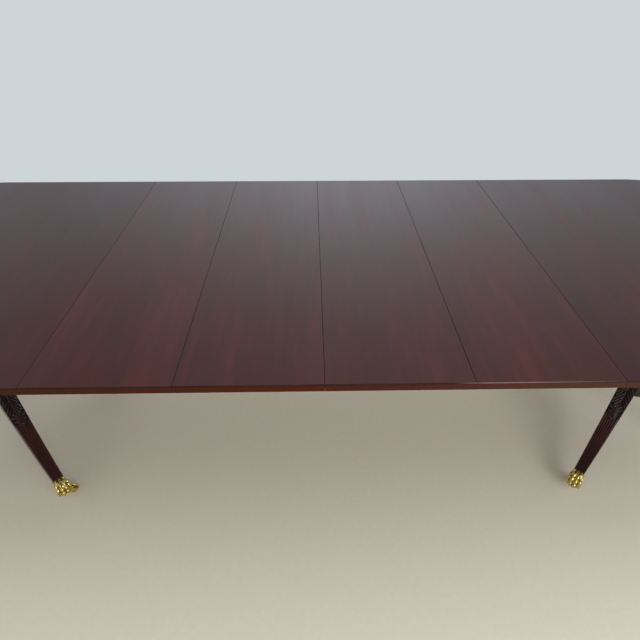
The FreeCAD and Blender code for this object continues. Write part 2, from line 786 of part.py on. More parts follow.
# Wood screws stand on their heads at z = 0, with the shank along Z
def screw(name, length):
    body = new_body(name)
    sketch = outline(sketch_on(body, f"{name}_profile", "XZ_Plane"), [
        ("0", "-screw_head_height"),
        ("screw_head_radius", "-screw_head_height"),
        ("screw_head_radius", "0"),
        ("screw_radius", "0"),
        ("screw_radius", length),
        ("0", length),
    ], {})
    revolve(body, sketch, "V_Axis")
    return body


# Screws of one half, with its seam at x = 0 and its end along X
def screw_set(side, rail_line):
    rail_screw = screw(f"{side}_rail_screw", "rail_height + screw_bite")
    block_screw = screw(f"{side}_block_screw", "block_thickness + screw_bite")
    cleat_screw = screw(f"{side}_cleat_screw", "cleat_thickness + screw_bite")
    plate_screw = screw(f"{side}_plate_screw", "plate_thickness + screw_bite")
    plate_ring = "(plate_radius + spigot_radius) / 2"
    places = []
    for across in (-1, 1):
        for share in rail_screw_shares:
            places.append((rail_screw, f"{share} * rail_fixed_length", f"{across} * {rail_line}",
                           f"{underside} - rail_height"))
        for along in (-1, 1):
            places.append((block_screw, f"pedestal_reach + {along} * (block_side / 2 - screw_inset)",
                           f"{across} * (block_side / 2 - screw_inset)", column_top))
            places.append((plate_screw, f"pedestal_reach + {along * (1 - across) / 2} * {plate_ring}",
                           f"{along * (1 + across) / 2} * {plate_ring}", "hub_bottom - plate_thickness"))
        places.append((cleat_screw, "rail_fixed_length + cleat_spacing + cleat_width / 2",
                       f"{across} * (cleat_length / 2 - screw_inset)", f"{underside} - cleat_thickness"))
    return [place(copy_of(base, f"{side}_screw_{number}"), x=x, y=y, z=z)
            for number, (base, x, y, z) in enumerate(places, start=1)]


leg = carved_leg()
paw = paw_foot(leg)
column = turned_column()
block = pedestal_block()
cleat = cleat_bar()
plate = hub_plate()
fork = caster_fork()
wheel = caster_wheel()
screws = {
    "left": screw_set("left", "(slide_offset - rail_width / 2)"),
    "right": screw_set("right", f"({inner_line} + rail_width / 2)"),
}
for side, sign in (("left", -1), ("right", 1)):
    half_turn = "180" if sign < 0 else "0"
    axis_x = f"{sign} * ({first_seam} + pedestal_reach)"
    parts[f"{side}_end_cleat"] = place(copy_of(cleat, f"{side}_end_cleat"), z=underside, turn=half_turn,
                                       x=f"{sign} * ({rail_end} + cleat_spacing)")
    parts[f"{side}_pedestal_block"] = place(copy_of(block, f"{side}_pedestal_block"), x=axis_x, z=underside)
    parts[f"{side}_column"] = place(copy_of(column, f"{side}_column"), x=axis_x, turn="45")
    parts[f"{side}_hub_plate"] = place(copy_of(plate, f"{side}_hub_plate"), x=axis_x)
    parts[f"{side}_screws"] = place(group(f"{side}_screws", screws[side]), turn=half_turn,
                                    x=f"{sign} * {first_seam}")

for corner, (heading, trailing) in legs.items():
    side, spot = corner.split("_", 1)
    axis_x = f"{-1 if side == 'left' else 1} * ({first_seam} + pedestal_reach)"
    swivel_x = f"{axis_x} + foot_reach * cos({heading})"
    swivel_y = f"foot_reach * sin({heading})"
    parts[f"{side}_leg_{spot}"] = place(copy_of(leg, f"{side}_leg_{spot}"), x=axis_x, turn=f"{heading}")
    parts[f"{side}_paw_{spot}"] = place(copy_of(paw, f"{side}_paw_{spot}"), x=axis_x, turn=f"{heading}")
    parts[f"{side}_fork_{spot}"] = place(group(f"{side}_fork_{spot}", fork), x=swivel_x, y=swivel_y,
                                         turn=f"{trailing}")
    parts[f"{side}_wheel_{spot}"] = place(
        copy_of(wheel, f"{side}_wheel_{spot}"), turn=f"{trailing}",
        x=f"{swivel_x} + trail * cos({trailing})", y=f"{swivel_y} + trail * sin({trailing})")


# Check every object, then write one file per sub-part

doc.recompute()
for item in doc.Objects:
    if any(state in ("Invalid", "Error") for state in item.State):
        raise RuntimeError(f"{item.Name} failed: {item.State}")
os.makedirs("parts", exist_ok=True)
for name, item in parts.items():
    item.Label = name
    if item.Shape.isNull() or not item.Shape.isValid():
        raise RuntimeError(f"{name} has no valid shape")
    item.Shape.exportStep(f"parts/{name}.step")
print(f"{len(parts)} sub-parts written")
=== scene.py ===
# Double pedestal dining table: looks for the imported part, in metres, in the part's own frame
import json
import math

import bmesh
import bpy
import numpy as np
from mathutils import Matrix, Vector


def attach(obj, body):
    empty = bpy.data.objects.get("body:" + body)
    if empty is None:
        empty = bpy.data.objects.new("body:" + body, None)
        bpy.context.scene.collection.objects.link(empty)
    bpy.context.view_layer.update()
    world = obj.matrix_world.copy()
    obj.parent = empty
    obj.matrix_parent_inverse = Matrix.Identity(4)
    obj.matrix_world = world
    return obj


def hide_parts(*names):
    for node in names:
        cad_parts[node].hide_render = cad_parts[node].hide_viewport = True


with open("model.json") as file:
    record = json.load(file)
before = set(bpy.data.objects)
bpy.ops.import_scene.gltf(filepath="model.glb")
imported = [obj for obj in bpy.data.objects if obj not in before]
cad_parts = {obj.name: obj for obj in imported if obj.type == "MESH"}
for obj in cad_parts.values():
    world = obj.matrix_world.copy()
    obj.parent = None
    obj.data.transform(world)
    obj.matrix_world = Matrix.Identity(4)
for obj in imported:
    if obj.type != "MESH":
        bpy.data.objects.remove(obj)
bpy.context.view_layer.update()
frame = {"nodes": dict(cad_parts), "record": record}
nodes = frame["nodes"]
scene = bpy.context.scene
scene.view_settings.view_transform = "Standard"
print("frame loaded:", len(nodes), "nodes")


def linear(hexColour):  # sRGB hex to linear
    parts = [int(hexColour[i:i + 2], 16) / 255 for i in (1, 3, 5)]
    return [p / 12.92 if p <= 0.04045 else ((p + 0.055) / 1.055) ** 2.4 for p in parts] + [1.0]


def addNode(tree, kind, inputs=None, stops=(), **settings):  # a socket given as an input is linked, anything else is set
    node = tree.nodes.new(kind)
    for name, setting in settings.items():
        setattr(node, name, setting)
    for key, given in (inputs or {}).items():
        if isinstance(given, bpy.types.NodeSocket):
            tree.links.new(given, node.inputs[key])
        else:
            node.inputs[key].default_value = given
    for number, (place, hexColour) in enumerate(stops):  # stops of a colour ramp, lowest first
        elements = node.color_ramp.elements
        element = elements[number] if number < len(elements) else elements.new(place)
        element.position = place
        element.color = linear(hexColour)
    return node


def finishMaterial(name, fixed, **linked):  # fixed: numbers on the shader's own sockets; linked: sockets by name
    material = bpy.data.materials[name]
    tree = material.node_tree
    linked = {label.replace("_", " "): socket for label, socket in linked.items()}
    shader = addNode(tree, "ShaderNodeBsdfPrincipled", {**fixed, **linked})
    addNode(tree, "ShaderNodeOutputMaterial", {"Surface": shader.outputs[0]})
    return material


def emptyTree(name):
    material = bpy.data.materials.new(name)
    material.use_nodes = True
    material.node_tree.nodes.clear()
    return material.node_tree


# camera worked out from the seams and edges of the top
cameraSet = {
    "place": (-0.025, -1.272, 1.441), "down": 36.32, "right": 1.17, "roll": -0.144,
    "sensor": 36, "focal": 492 / 640,  # focal length as a share of the picture's width
}
cameraData = bpy.data.cameras.new("camera")
cameraData.sensor_width = cameraSet["sensor"]
cameraData.lens = cameraSet["focal"] * cameraSet["sensor"]
camera = bpy.data.objects.new("camera", cameraData)
scene.collection.objects.link(camera)
down, right, roll = (math.radians(cameraSet[key]) for key in ("down", "right", "roll"))
forward = Vector((math.sin(right) * math.cos(down), math.cos(right) * math.cos(down), -math.sin(down)))
level = Vector((math.cos(right), -math.sin(right), 0))
turned = Matrix((level, level.cross(forward), -forward)).transposed()
camera.matrix_world = Matrix.Translation(cameraSet["place"]) @ (turned @ Matrix.Rotation(-roll, 3, "Z")).to_4x4()
scene.camera = camera
print("camera placed")

# studio: a soft top light, a pale background and a floor that fades into it
studioSet = {
    "wall": "#ced5d9", "mirrored": "#c3d4dc", "fill": "#eef0f2", "fillStrength": 0.95,
    "lowStrength": 0.8, "bandStrength": 2.75, "zenithStrength": 1.2,  # the mirrored wall at the floor, halfway up and overhead
    "lowTo": 0.3, "bandFrom": 0.34, "bandTo": 0.70,  # rise of the ray where they change
    "sideMiddle": 0.06, "sideFrom": 0.05, "sideTo": 0.5, "sideShare": 0.42,  # darker to both sides
    "floorRadius": 3.2, "fadeFrom": 1.9, "fadeTo": 2.5, "speckle": 60.0, "floorTones": ("#d5cfbc", "#d8d2bf"),
}
world = bpy.data.worlds.new("studio")
scene.world = world
world.use_nodes = True
tree = world.node_tree
tree.nodes.clear()
path = addNode(tree, "ShaderNodeLightPath")
cameraRay = path.outputs["Is Camera Ray"]
seen = addNode(tree, "ShaderNodeMath", {0: cameraRay, 1: path.outputs["Is Glossy Ray"]}, operation="MAXIMUM")
seen = addNode(tree, "ShaderNodeMath", {0: seen.outputs[0], 1: path.outputs["Is Transmission Ray"]}, operation="MAXIMUM")
fill = addNode(tree, "ShaderNodeBackground", {"Color": linear(studioSet["fill"]), "Strength": studioSet["fillStrength"]})
ray = addNode(tree, "ShaderNodeSeparateXYZ", {0: addNode(tree, "ShaderNodeTexCoord").outputs["Generated"]})
band = addNode(tree, "ShaderNodeMapRange", {0: ray.outputs["Z"], 1: studioSet["bandFrom"], 2: studioSet["bandTo"],
                                            3: studioSet["bandStrength"], 4: studioSet["zenithStrength"]})
low = addNode(tree, "ShaderNodeMapRange", {0: ray.outputs["Z"], 1: 0.0, 2: studioSet["lowTo"],
                                           3: studioSet["lowStrength"], 4: studioSet["bandStrength"]})
band = addNode(tree, "ShaderNodeMath", {0: band.outputs[0], 1: low.outputs[0]}, operation="MINIMUM")
aside = addNode(tree, "ShaderNodeMath", {0: ray.outputs["X"], 1: studioSet["sideMiddle"]}, operation="SUBTRACT")
aside = addNode(tree, "ShaderNodeMath", {0: aside.outputs[0]}, operation="ABSOLUTE")
aside = addNode(tree, "ShaderNodeMapRange", {0: aside.outputs[0], 1: studioSet["sideFrom"], 2: studioSet["sideTo"],
                                             3: 1.0, 4: studioSet["sideShare"]})
band = addNode(tree, "ShaderNodeMath", {0: band.outputs[0], 1: aside.outputs[0]}, operation="MULTIPLY")
glow = addNode(tree, "ShaderNodeMix", {0: cameraRay, 2: band.outputs[0], 3: 1.0})
tint = addNode(tree, "ShaderNodeMix", {0: cameraRay, 6: linear(studioSet["mirrored"]), 7: linear(studioSet["wall"])},
               data_type="RGBA")
wall = addNode(tree, "ShaderNodeBackground", {"Color": tint.outputs[2], "Strength": glow.outputs[0]})
mixed = addNode(tree, "ShaderNodeMixShader", {0: seen.outputs[0], 1: fill.outputs[0], 2: wall.outputs[0]})
addNode(tree, "ShaderNodeOutputWorld", {"Surface": mixed.outputs[0]})

tree = emptyTree("pale_floor")  # matt studio floor
spot = addNode(tree, "ShaderNodeTexCoord").outputs["Object"]
distance = addNode(tree, "ShaderNodeVectorMath", {0: spot}, operation="LENGTH")
fade = addNode(tree, "ShaderNodeMapRange", {0: distance.outputs["Value"], 1: studioSet["fadeFrom"], 2: studioSet["fadeTo"]},
               interpolation_type="SMOOTHSTEP")
speckle = addNode(tree, "ShaderNodeTexNoise", {"Vector": spot, "Scale": studioSet["speckle"], "Detail": 3.0})
tone = addNode(tree, "ShaderNodeValToRGB", {"Fac": speckle.outputs["Fac"]}, zip((0.3, 0.7), studioSet["floorTones"])).outputs[0]
matt = addNode(tree, "ShaderNodeBsdfDiffuse", {"Color": tone})
clear = addNode(tree, "ShaderNodeBsdfTransparent")
mixed = addNode(tree, "ShaderNodeMixShader", {0: fade.outputs[0], 1: matt.outputs[0], 2: clear.outputs[0]})
addNode(tree, "ShaderNodeOutputMaterial", {"Surface": mixed.outputs[0]})
floorMesh = bpy.data.meshes.new("floor")
build = bmesh.new()
bmesh.ops.create_circle(build, cap_ends=True, radius=studioSet["floorRadius"], segments=96)
build.to_mesh(floorMesh)
build.free()
floor = bpy.data.objects.new("floor", floorMesh)
floorMesh.materials.append(bpy.data.materials["pale_floor"])
scene.collection.objects.link(floor)

lampSet = {  # place, aim, size and watts
    "ceiling": ((0.0, -0.3, 3.4), (0, 0, 0.4), (3.6, 3.6), 34),
    "front": ((1.6, -3.0, 1.7), (0, 0, 0.4), (1.6, 1.6), 38),
}
for lampName, (place, aim, size, watts) in lampSet.items():
    lampData = bpy.data.lights.new(lampName, "AREA")
    lampData.shape = "RECTANGLE"
    lampData.size, lampData.size_y = size
    lampData.energy = watts
    lamp = bpy.data.objects.new(lampName, lampData)
    lamp.location = place
    lamp.rotation_mode = "QUATERNION"
    lamp.rotation_quaternion = (Vector(aim) - Vector(place)).to_track_quat("-Z", "Y")
    scene.collection.objects.link(lamp)
print("studio lit")

# materials
# French-polished mahogany boards: dark red-brown, ribbon stripes and pores along the grain (Y), satin gloss;
# the underside is dull and paler
boardSet = {
    "firstSeam": 0.6106, "boardPitch": 0.3052, "cutShift": 7.31, "underside": 0.7374,
    "ribbon": (11, 0.8, 11),  # stripes about 90 mm wide and most of a board long
    "streak": (46, 4.6, 46),  # growth streaks about 20 mm wide and 200 mm long, broken up by a finer figure
    "pore": (850, 50, 850),  # pores are 0.2 mm across; drawn 1.2 mm across and 20 mm long so that they show
    "poreShare": 0.11, "endShade": 0.24,
}
tree = emptyTree("polished_mahogany_boards")
spot = addNode(tree, "ShaderNodeTexCoord").outputs["Object"]
axes = addNode(tree, "ShaderNodeSeparateXYZ", {0: spot})
board = addNode(tree, "ShaderNodeMath", {0: axes.outputs["X"], 1: boardSet["firstSeam"]}, operation="ADD")
board = addNode(tree, "ShaderNodeMath", {0: board.outputs[0], 1: boardSet["boardPitch"]}, operation="DIVIDE")
board = addNode(tree, "ShaderNodeMath", {0: board.outputs[0]}, operation="FLOOR")
board = addNode(tree, "ShaderNodeClamp", {"Value": board.outputs[0], "Min": -1, "Max": 4})
# each board is another cut of the wood
shift = addNode(tree, "ShaderNodeMath", {0: board.outputs[0], 1: boardSet["cutShift"]}, operation="MULTIPLY")
moved = addNode(tree, "ShaderNodeCombineXYZ", {"X": shift.outputs[0], "Y": shift.outputs[0]})
cut = addNode(tree, "ShaderNodeVectorMath", {0: spot, 1: moved.outputs[0]}, operation="ADD").outputs[0]
ribbonAt = addNode(tree, "ShaderNodeMapping", {"Vector": cut, "Scale": boardSet["ribbon"]})
ribbon = addNode(tree, "ShaderNodeTexNoise", {"Vector": ribbonAt.outputs[0], "Scale": 1.0, "Detail": 4.0, "Roughness": 0.55})
streakAt = addNode(tree, "ShaderNodeMapping", {"Vector": cut, "Scale": boardSet["streak"]})
streak = addNode(tree, "ShaderNodeTexNoise", {"Vector": streakAt.outputs[0], "Scale": 1.0, "Detail": 5.0, "Roughness": 0.6})
poreAt = addNode(tree, "ShaderNodeMapping", {"Vector": cut, "Scale": boardSet["pore"]})
pore = addNode(tree, "ShaderNodeTexNoise", {"Vector": poreAt.outputs[0], "Scale": 1.0, "Detail": 1.0})
poreDepth = addNode(tree, "ShaderNodeMapRange", {0: pore.outputs["Fac"], 1: 0.60, 2: 0.72})
blend = addNode(tree, "ShaderNodeMath", {0: streak.outputs["Fac"], 1: 0.55}, operation="MULTIPLY")
blend = addNode(tree, "ShaderNodeMath", {0: ribbon.outputs["Fac"], 1: 0.45, 2: blend.outputs[0]}, operation="MULTIPLY_ADD")
faceTone = addNode(tree, "ShaderNodeValToRGB", {"Fac": blend.outputs[0]},
                   [(0.34, "#361613"), (0.46, "#3b1712"), (0.54, "#401813"), (0.66, "#4a1a15")]).outputs[0]
underTone = addNode(tree, "ShaderNodeValToRGB", {"Fac": blend.outputs[0]}, [(0.30, "#5f3b28"), (0.70, "#74492f")]).outputs[0]
# the end tops are darker than the leaves
atEnd = addNode(tree, "ShaderNodeMath", {0: board.outputs[0], 1: 1.5}, operation="SUBTRACT")
atEnd = addNode(tree, "ShaderNodeMath", {0: atEnd.outputs[0]}, operation="ABSOLUTE")
atEnd = addNode(tree, "ShaderNodeMapRange", {0: atEnd.outputs[0], 1: 1.5, 2: 2.5, 3: 0.0, 4: boardSet["endShade"]})
faceTone = addNode(tree, "ShaderNodeMix", {0: atEnd.outputs[0], 6: faceTone, 7: linear("#1c0d0c")}, data_type="RGBA").outputs[2]
below = addNode(tree, "ShaderNodeMapRange", {0: axes.outputs["Z"], 1: boardSet["underside"] + 0.0002,
                                             2: boardSet["underside"] - 0.0002})
colour = addNode(tree, "ShaderNodeMix", {0: below.outputs[0], 6: faceTone, 7: underTone}, data_type="RGBA")
poreMix = addNode(tree, "ShaderNodeMath", {0: poreDepth.outputs[0], 1: boardSet["poreShare"]}, operation="MULTIPLY")
colour = addNode(tree, "ShaderNodeMix", {0: poreMix.outputs[0], 6: colour.outputs[2], 7: linear("#200a09")}, data_type="RGBA")
sheen = addNode(tree, "ShaderNodeMapRange", {0: ribbon.outputs["Fac"], 1: 0.3, 2: 0.7, 3: 0.24, 4: 0.31})
dull = addNode(tree, "ShaderNodeMath", {0: below.outputs[0], 1: 0.3, 2: sheen.outputs[0]}, operation="MULTIPLY_ADD")
bump = addNode(tree, "ShaderNodeBump", {"Strength": 0.05, "Distance": 0.0002, "Height": pore.outputs["Fac"]})
boardWood = finishMaterial("polished_mahogany_boards", {"Specular IOR Level": 0.28},
                           Base_Color=colour.outputs[2], Roughness=dull.outputs[0], Normal=bump.outputs[0])

# Arrises of the boards: dark, with a painted highlight along the front of the fourth leaf
arrisGlintSet = {"from": 0.26, "full": 0.33, "failing": 0.40, "to": 0.62, "tone": "#735e5a"}
tree = emptyTree("mahogany_arris_painted_glint")
spot = addNode(tree, "ShaderNodeTexCoord").outputs["Object"]
axes = addNode(tree, "ShaderNodeSeparateXYZ", {0: spot})
smear = addNode(tree, "ShaderNodeTexNoise", {"Vector": spot, "Scale": 35.0, "Detail": 3.0})  # smears about 30 mm long
tone = addNode(tree, "ShaderNodeValToRGB", {"Fac": smear.outputs["Fac"]}, [(0.35, "#1a0705"), (0.65, "#2c100c")]).outputs[0]
begun = addNode(tree, "ShaderNodeMapRange", {0: axes.outputs["X"], 1: arrisGlintSet["from"], 2: arrisGlintSet["full"]})
ended = addNode(tree, "ShaderNodeMapRange", {0: axes.outputs["X"], 1: arrisGlintSet["to"], 2: arrisGlintSet["failing"]})
atFront = addNode(tree, "ShaderNodeMath", {0: axes.outputs["Y"], 1: 0.0}, operation="LESS_THAN")
glint = addNode(tree, "ShaderNodeMath", {0: begun.outputs[0], 1: ended.outputs[0]}, operation="MULTIPLY")
glint = addNode(tree, "ShaderNodeMath", {0: glint.outputs[0], 1: atFront.outputs[0]}, operation="MULTIPLY")
# painted highlight: the arris is paled along the front of the fourth leaf
colour = addNode(tree, "ShaderNodeMix", {0: glint.outputs[0], 6: tone, 7: linear(arrisGlintSet["tone"])}, data_type="RGBA")
sheen = addNode(tree, "ShaderNodeMapRange", {0: smear.outputs["Fac"], 1: 0.3, 2: 0.7, 3: 0.2, 4: 0.3})
arrisWood = finishMaterial("mahogany_arris_painted_glint", {"Specular IOR Level": 0.2},
                           Base_Color=colour.outputs[2], Roughness=sheen.outputs[0])

# Sawn edges of the boards: the same wood stained brown, rubbed dull by hands, darker just under the arris;
# the edge's tone changes along the table, orange in the middle and greyer to the right
edgeSet = {
    "tones": [(0.15, "#3d1a09"), (0.42, "#4b1501"), (0.62, "#471d0f"), (0.88, "#4a2a20")],  # along the leaves, left to right
    "arrisDarkFrom": 0.7518, "arrisDarkTo": 0.7545, "arrisDarkShare": 0.65,
}
tree = emptyTree("worn_mahogany_edges")
spot = addNode(tree, "ShaderNodeTexCoord").outputs["Object"]
axes = addNode(tree, "ShaderNodeSeparateXYZ", {0: spot})
along = addNode(tree, "ShaderNodeMapRange", {0: axes.outputs["X"], 1: -boardSet["firstSeam"], 2: boardSet["firstSeam"]})
tone = addNode(tree, "ShaderNodeValToRGB", {"Fac": along.outputs[0]}, edgeSet["tones"]).outputs[0]
speck = addNode(tree, "ShaderNodeTexNoise", {"Vector": spot, "Scale": 220.0, "Detail": 3.0})  # end grain, specks about 4 mm
dark = addNode(tree, "ShaderNodeMapRange", {0: speck.outputs["Fac"], 1: 0.4, 2: 0.75, 3: 0.0, 4: 0.3})
# the edge is darker towards its top, just under the arris
underArris = addNode(tree, "ShaderNodeMapRange", {0: axes.outputs["Z"], 1: edgeSet["arrisDarkFrom"], 2: edgeSet["arrisDarkTo"],
                                            3: 0.0, 4: edgeSet["arrisDarkShare"]})
dark = addNode(tree, "ShaderNodeMath", {0: dark.outputs[0], 1: underArris.outputs[0]}, operation="MAXIMUM")
colour = addNode(tree, "ShaderNodeMix", {0: dark.outputs[0], 6: tone, 7: linear("#160703")}, data_type="RGBA")
sheen = addNode(tree, "ShaderNodeMapRange", {0: speck.outputs["Fac"], 1: 0.3, 2: 0.7, 3: 0.4, 4: 0.52})
edgeWood = finishMaterial("worn_mahogany_edges", {"Specular IOR Level": 0.1},
                          Base_Color=colour.outputs[2], Roughness=sheen.outputs[0])

# Carved and turned mahogany: the same wood stained nearly black-brown, painted shade and old wax darkening its hollows
tree = emptyTree("stained_mahogany_carving")
spot = addNode(tree, "ShaderNodeTexCoord").outputs["Object"]
hollow = addNode(tree, "ShaderNodeAttribute", attribute_name="hollow").outputs["Fac"]
streakAt = addNode(tree, "ShaderNodeMapping", {"Vector": spot, "Scale": (150, 150, 12)})  # streaks 7 mm wide, upright
streak = addNode(tree, "ShaderNodeTexNoise", {"Vector": streakAt.outputs[0], "Scale": 1.0, "Detail": 4.0})
tone = addNode(tree, "ShaderNodeValToRGB", {"Fac": streak.outputs["Fac"]},
               [(0.30, "#200d0b"), (0.50, "#2f1411"), (0.70, "#3d1b17")]).outputs[0]
# painted shade with old wax: the hollows are mixed towards near black
colour = addNode(tree, "ShaderNodeMix", {0: hollow, 6: tone, 7: linear("#0b0505")}, data_type="RGBA")
sheen = addNode(tree, "ShaderNodeMapRange", {0: hollow, 3: 0.2, 4: 0.5})
bump = addNode(tree, "ShaderNodeBump", {"Strength": 0.15, "Distance": 0.0002, "Height": streak.outputs["Fac"]})
carvedWood = finishMaterial("stained_mahogany_carving", {"Specular IOR Level": 0.5},
                            Base_Color=colour.outputs[2], Roughness=sheen.outputs[0], Normal=bump.outputs[0])

# Reeds: the same stain rubbed through to red on the crowns of the rods, black between them with painted shade and old
# wax
tree = emptyTree("rubbed_mahogany_reeds")
spot = addNode(tree, "ShaderNodeTexCoord").outputs["Object"]
hollow = addNode(tree, "ShaderNodeAttribute", attribute_name="hollow").outputs["Fac"]
patch = addNode(tree, "ShaderNodeTexNoise", {"Vector": spot, "Scale": 14.0, "Detail": 4.0})  # rubbed places about 70 mm long
tone = addNode(tree, "ShaderNodeValToRGB", {"Fac": patch.outputs["Fac"]}, [(0.35, "#2f1310"), (0.65, "#3f1b16")]).outputs[0]
depth = addNode(tree, "ShaderNodeMapRange", {0: hollow, 1: 0.0, 2: 0.55})
# painted shade with old wax: the grooves between the rods are mixed towards black
colour = addNode(tree, "ShaderNodeMix", {0: depth.outputs[0], 6: tone, 7: linear("#050202")}, data_type="RGBA")
sheen = addNode(tree, "ShaderNodeMapRange", {0: hollow, 3: 0.22, 4: 0.6})
reedWood = finishMaterial("rubbed_mahogany_reeds", {"Specular IOR Level": 0.35},
                          Base_Color=colour.outputs[2], Roughness=sheen.outputs[0])

# Old wax: nearly black and dull in the hollows of the carving, where it also paints shade; rubbed a little paler in the
# chamfers of the seams
waxSet = {"wax_filled_hollows": ("#0c0605", "#1a0d0b"), "wax_filled_seams": ("#20100e", "#301a17")}
waxes = []
for name, (dark, pale) in waxSet.items():
    tree = emptyTree(name)
    spot = addNode(tree, "ShaderNodeTexCoord").outputs["Object"]
    crumb = addNode(tree, "ShaderNodeTexNoise", {"Vector": spot, "Scale": 500.0, "Detail": 2.0})  # crumbs about 2 mm
    tone = addNode(tree, "ShaderNodeValToRGB", {"Fac": crumb.outputs["Fac"]}, [(0.3, dark), (0.7, pale)]).outputs[0]
    sheen = addNode(tree, "ShaderNodeMapRange", {0: crumb.outputs["Fac"], 3: 0.5, 4: 0.75})
    waxes.append(finishMaterial(name, {"Specular IOR Level": 0.15}, Base_Color=tone, Roughness=sheen.outputs[0]))
waxAndShade, seamWax = waxes

# Cast and burnished brass: bright on the knuckles, painted shade and brown lacquer left in the recesses
tree = emptyTree("burnished_cast_brass")
spot = addNode(tree, "ShaderNodeTexCoord").outputs["Object"]
hollow = addNode(tree, "ShaderNodeAttribute", attribute_name="hollow").outputs["Fac"]
grit = addNode(tree, "ShaderNodeTexNoise", {"Vector": spot, "Scale": 900.0, "Detail": 2.0})  # casting grain about 1 mm
cloud = addNode(tree, "ShaderNodeTexNoise", {"Vector": spot, "Scale": 60.0, "Detail": 2.0})
tone = addNode(tree, "ShaderNodeValToRGB", {"Fac": cloud.outputs["Fac"]}, [(0.3, "#c2a858"), (0.7, "#dcc67c")]).outputs[0]
# painted shade with brown lacquer: the recesses are mixed towards dark brown
colour = addNode(tree, "ShaderNodeMix", {0: hollow, 6: tone, 7: linear("#2c2008")}, data_type="RGBA")
sheen = addNode(tree, "ShaderNodeMapRange", {0: hollow, 3: 0.2, 4: 0.5})
bump = addNode(tree, "ShaderNodeBump", {"Strength": 0.1, "Distance": 0.0003, "Height": grit.outputs["Fac"]})
castBrass = finishMaterial("burnished_cast_brass", {"Metallic": 1.0}, Base_Color=colour.outputs[2],
                           Roughness=sheen.outputs[0], Normal=bump.outputs[0])

# Oiled hardwood of the slides, blocks and cleats: planed, unstained, grain along each piece
tree = emptyTree("oiled_hardwood_slides")
spot = addNode(tree, "ShaderNodeTexCoord").outputs["Object"]
streakAt = addNode(tree, "ShaderNodeMapping", {"Vector": spot, "Scale": (7, 190, 190)})  # streaks 5 mm wide, 140 mm long
streak = addNode(tree, "ShaderNodeTexNoise", {"Vector": streakAt.outputs[0], "Scale": 1.0, "Detail": 4.0})
tone = addNode(tree, "ShaderNodeValToRGB", {"Fac": streak.outputs["Fac"]},
               [(0.30, "#7a5533"), (0.52, "#946a42"), (0.72, "#a87d52")]).outputs[0]
sheen = addNode(tree, "ShaderNodeMapRange", {0: streak.outputs["Fac"], 1: 0.3, 2: 0.7, 3: 0.5, 4: 0.62})
bump = addNode(tree, "ShaderNodeBump", {"Strength": 0.2, "Distance": 0.0003, "Height": streak.outputs["Fac"]})
slideWood = finishMaterial("oiled_hardwood_slides", {},
                           Base_Color=tone, Roughness=sheen.outputs[0], Normal=bump.outputs[0])

# Zinc-plated steel of the hub plates and screws
tree = emptyTree("zinc_plated_steel")
spot = addNode(tree, "ShaderNodeTexCoord").outputs["Object"]
spangle = addNode(tree, "ShaderNodeTexVoronoi", {"Vector": spot, "Scale": 260.0})  # crystals about 4 mm
tone = addNode(tree, "ShaderNodeValToRGB", {"Fac": spangle.outputs["Color"]}, [(0.2, "#85888b"), (0.8, "#9da0a2")]).outputs[0]
sheen = addNode(tree, "ShaderNodeMapRange", {0: spangle.outputs["Distance"], 3: 0.32, 4: 0.48})
zincSteel = finishMaterial("zinc_plated_steel", {"Metallic": 1.0}, Base_Color=tone, Roughness=sheen.outputs[0])
print("materials made:", len(bpy.data.materials))

finishes = {"mahogany": carvedWood, "slide_wood": slideWood, "brass": castBrass, "steel": zincSteel}
slots = {entry["node"]: entry["material_slot"] for entry in frame["record"]["subparts"]}
for name, node in nodes.items():
    finish = boardWood if name.endswith("_top") or name.removeprefix("leaf_").isdigit() else finishes[slots[name]]
    node.data.materials.clear()
    node.data.materials.append(finish)

# boards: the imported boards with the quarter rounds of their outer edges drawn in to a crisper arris
arrisSet = {
    "packed": 0.0035, "drawn": 0.0016, "chamfer": 0.0008, "slack": 1e-5, "seamZone": 0.0011,
    "sharpAngle": 30, "flat": 0.999, "rising": 0.05,  # faces past these parts of a normal are flat, or belong to the arris
}


def seamSide(x):  # true where a place along the table lies on a seam or its chamfers
    pitch = boardSet["boardPitch"]
    far = np.abs((x + boardSet["firstSeam"] + pitch / 2) % pitch - pitch / 2)
    return (far < arrisSet["seamZone"]) & (np.abs(x) < boardSet["firstSeam"] + arrisSet["seamZone"])


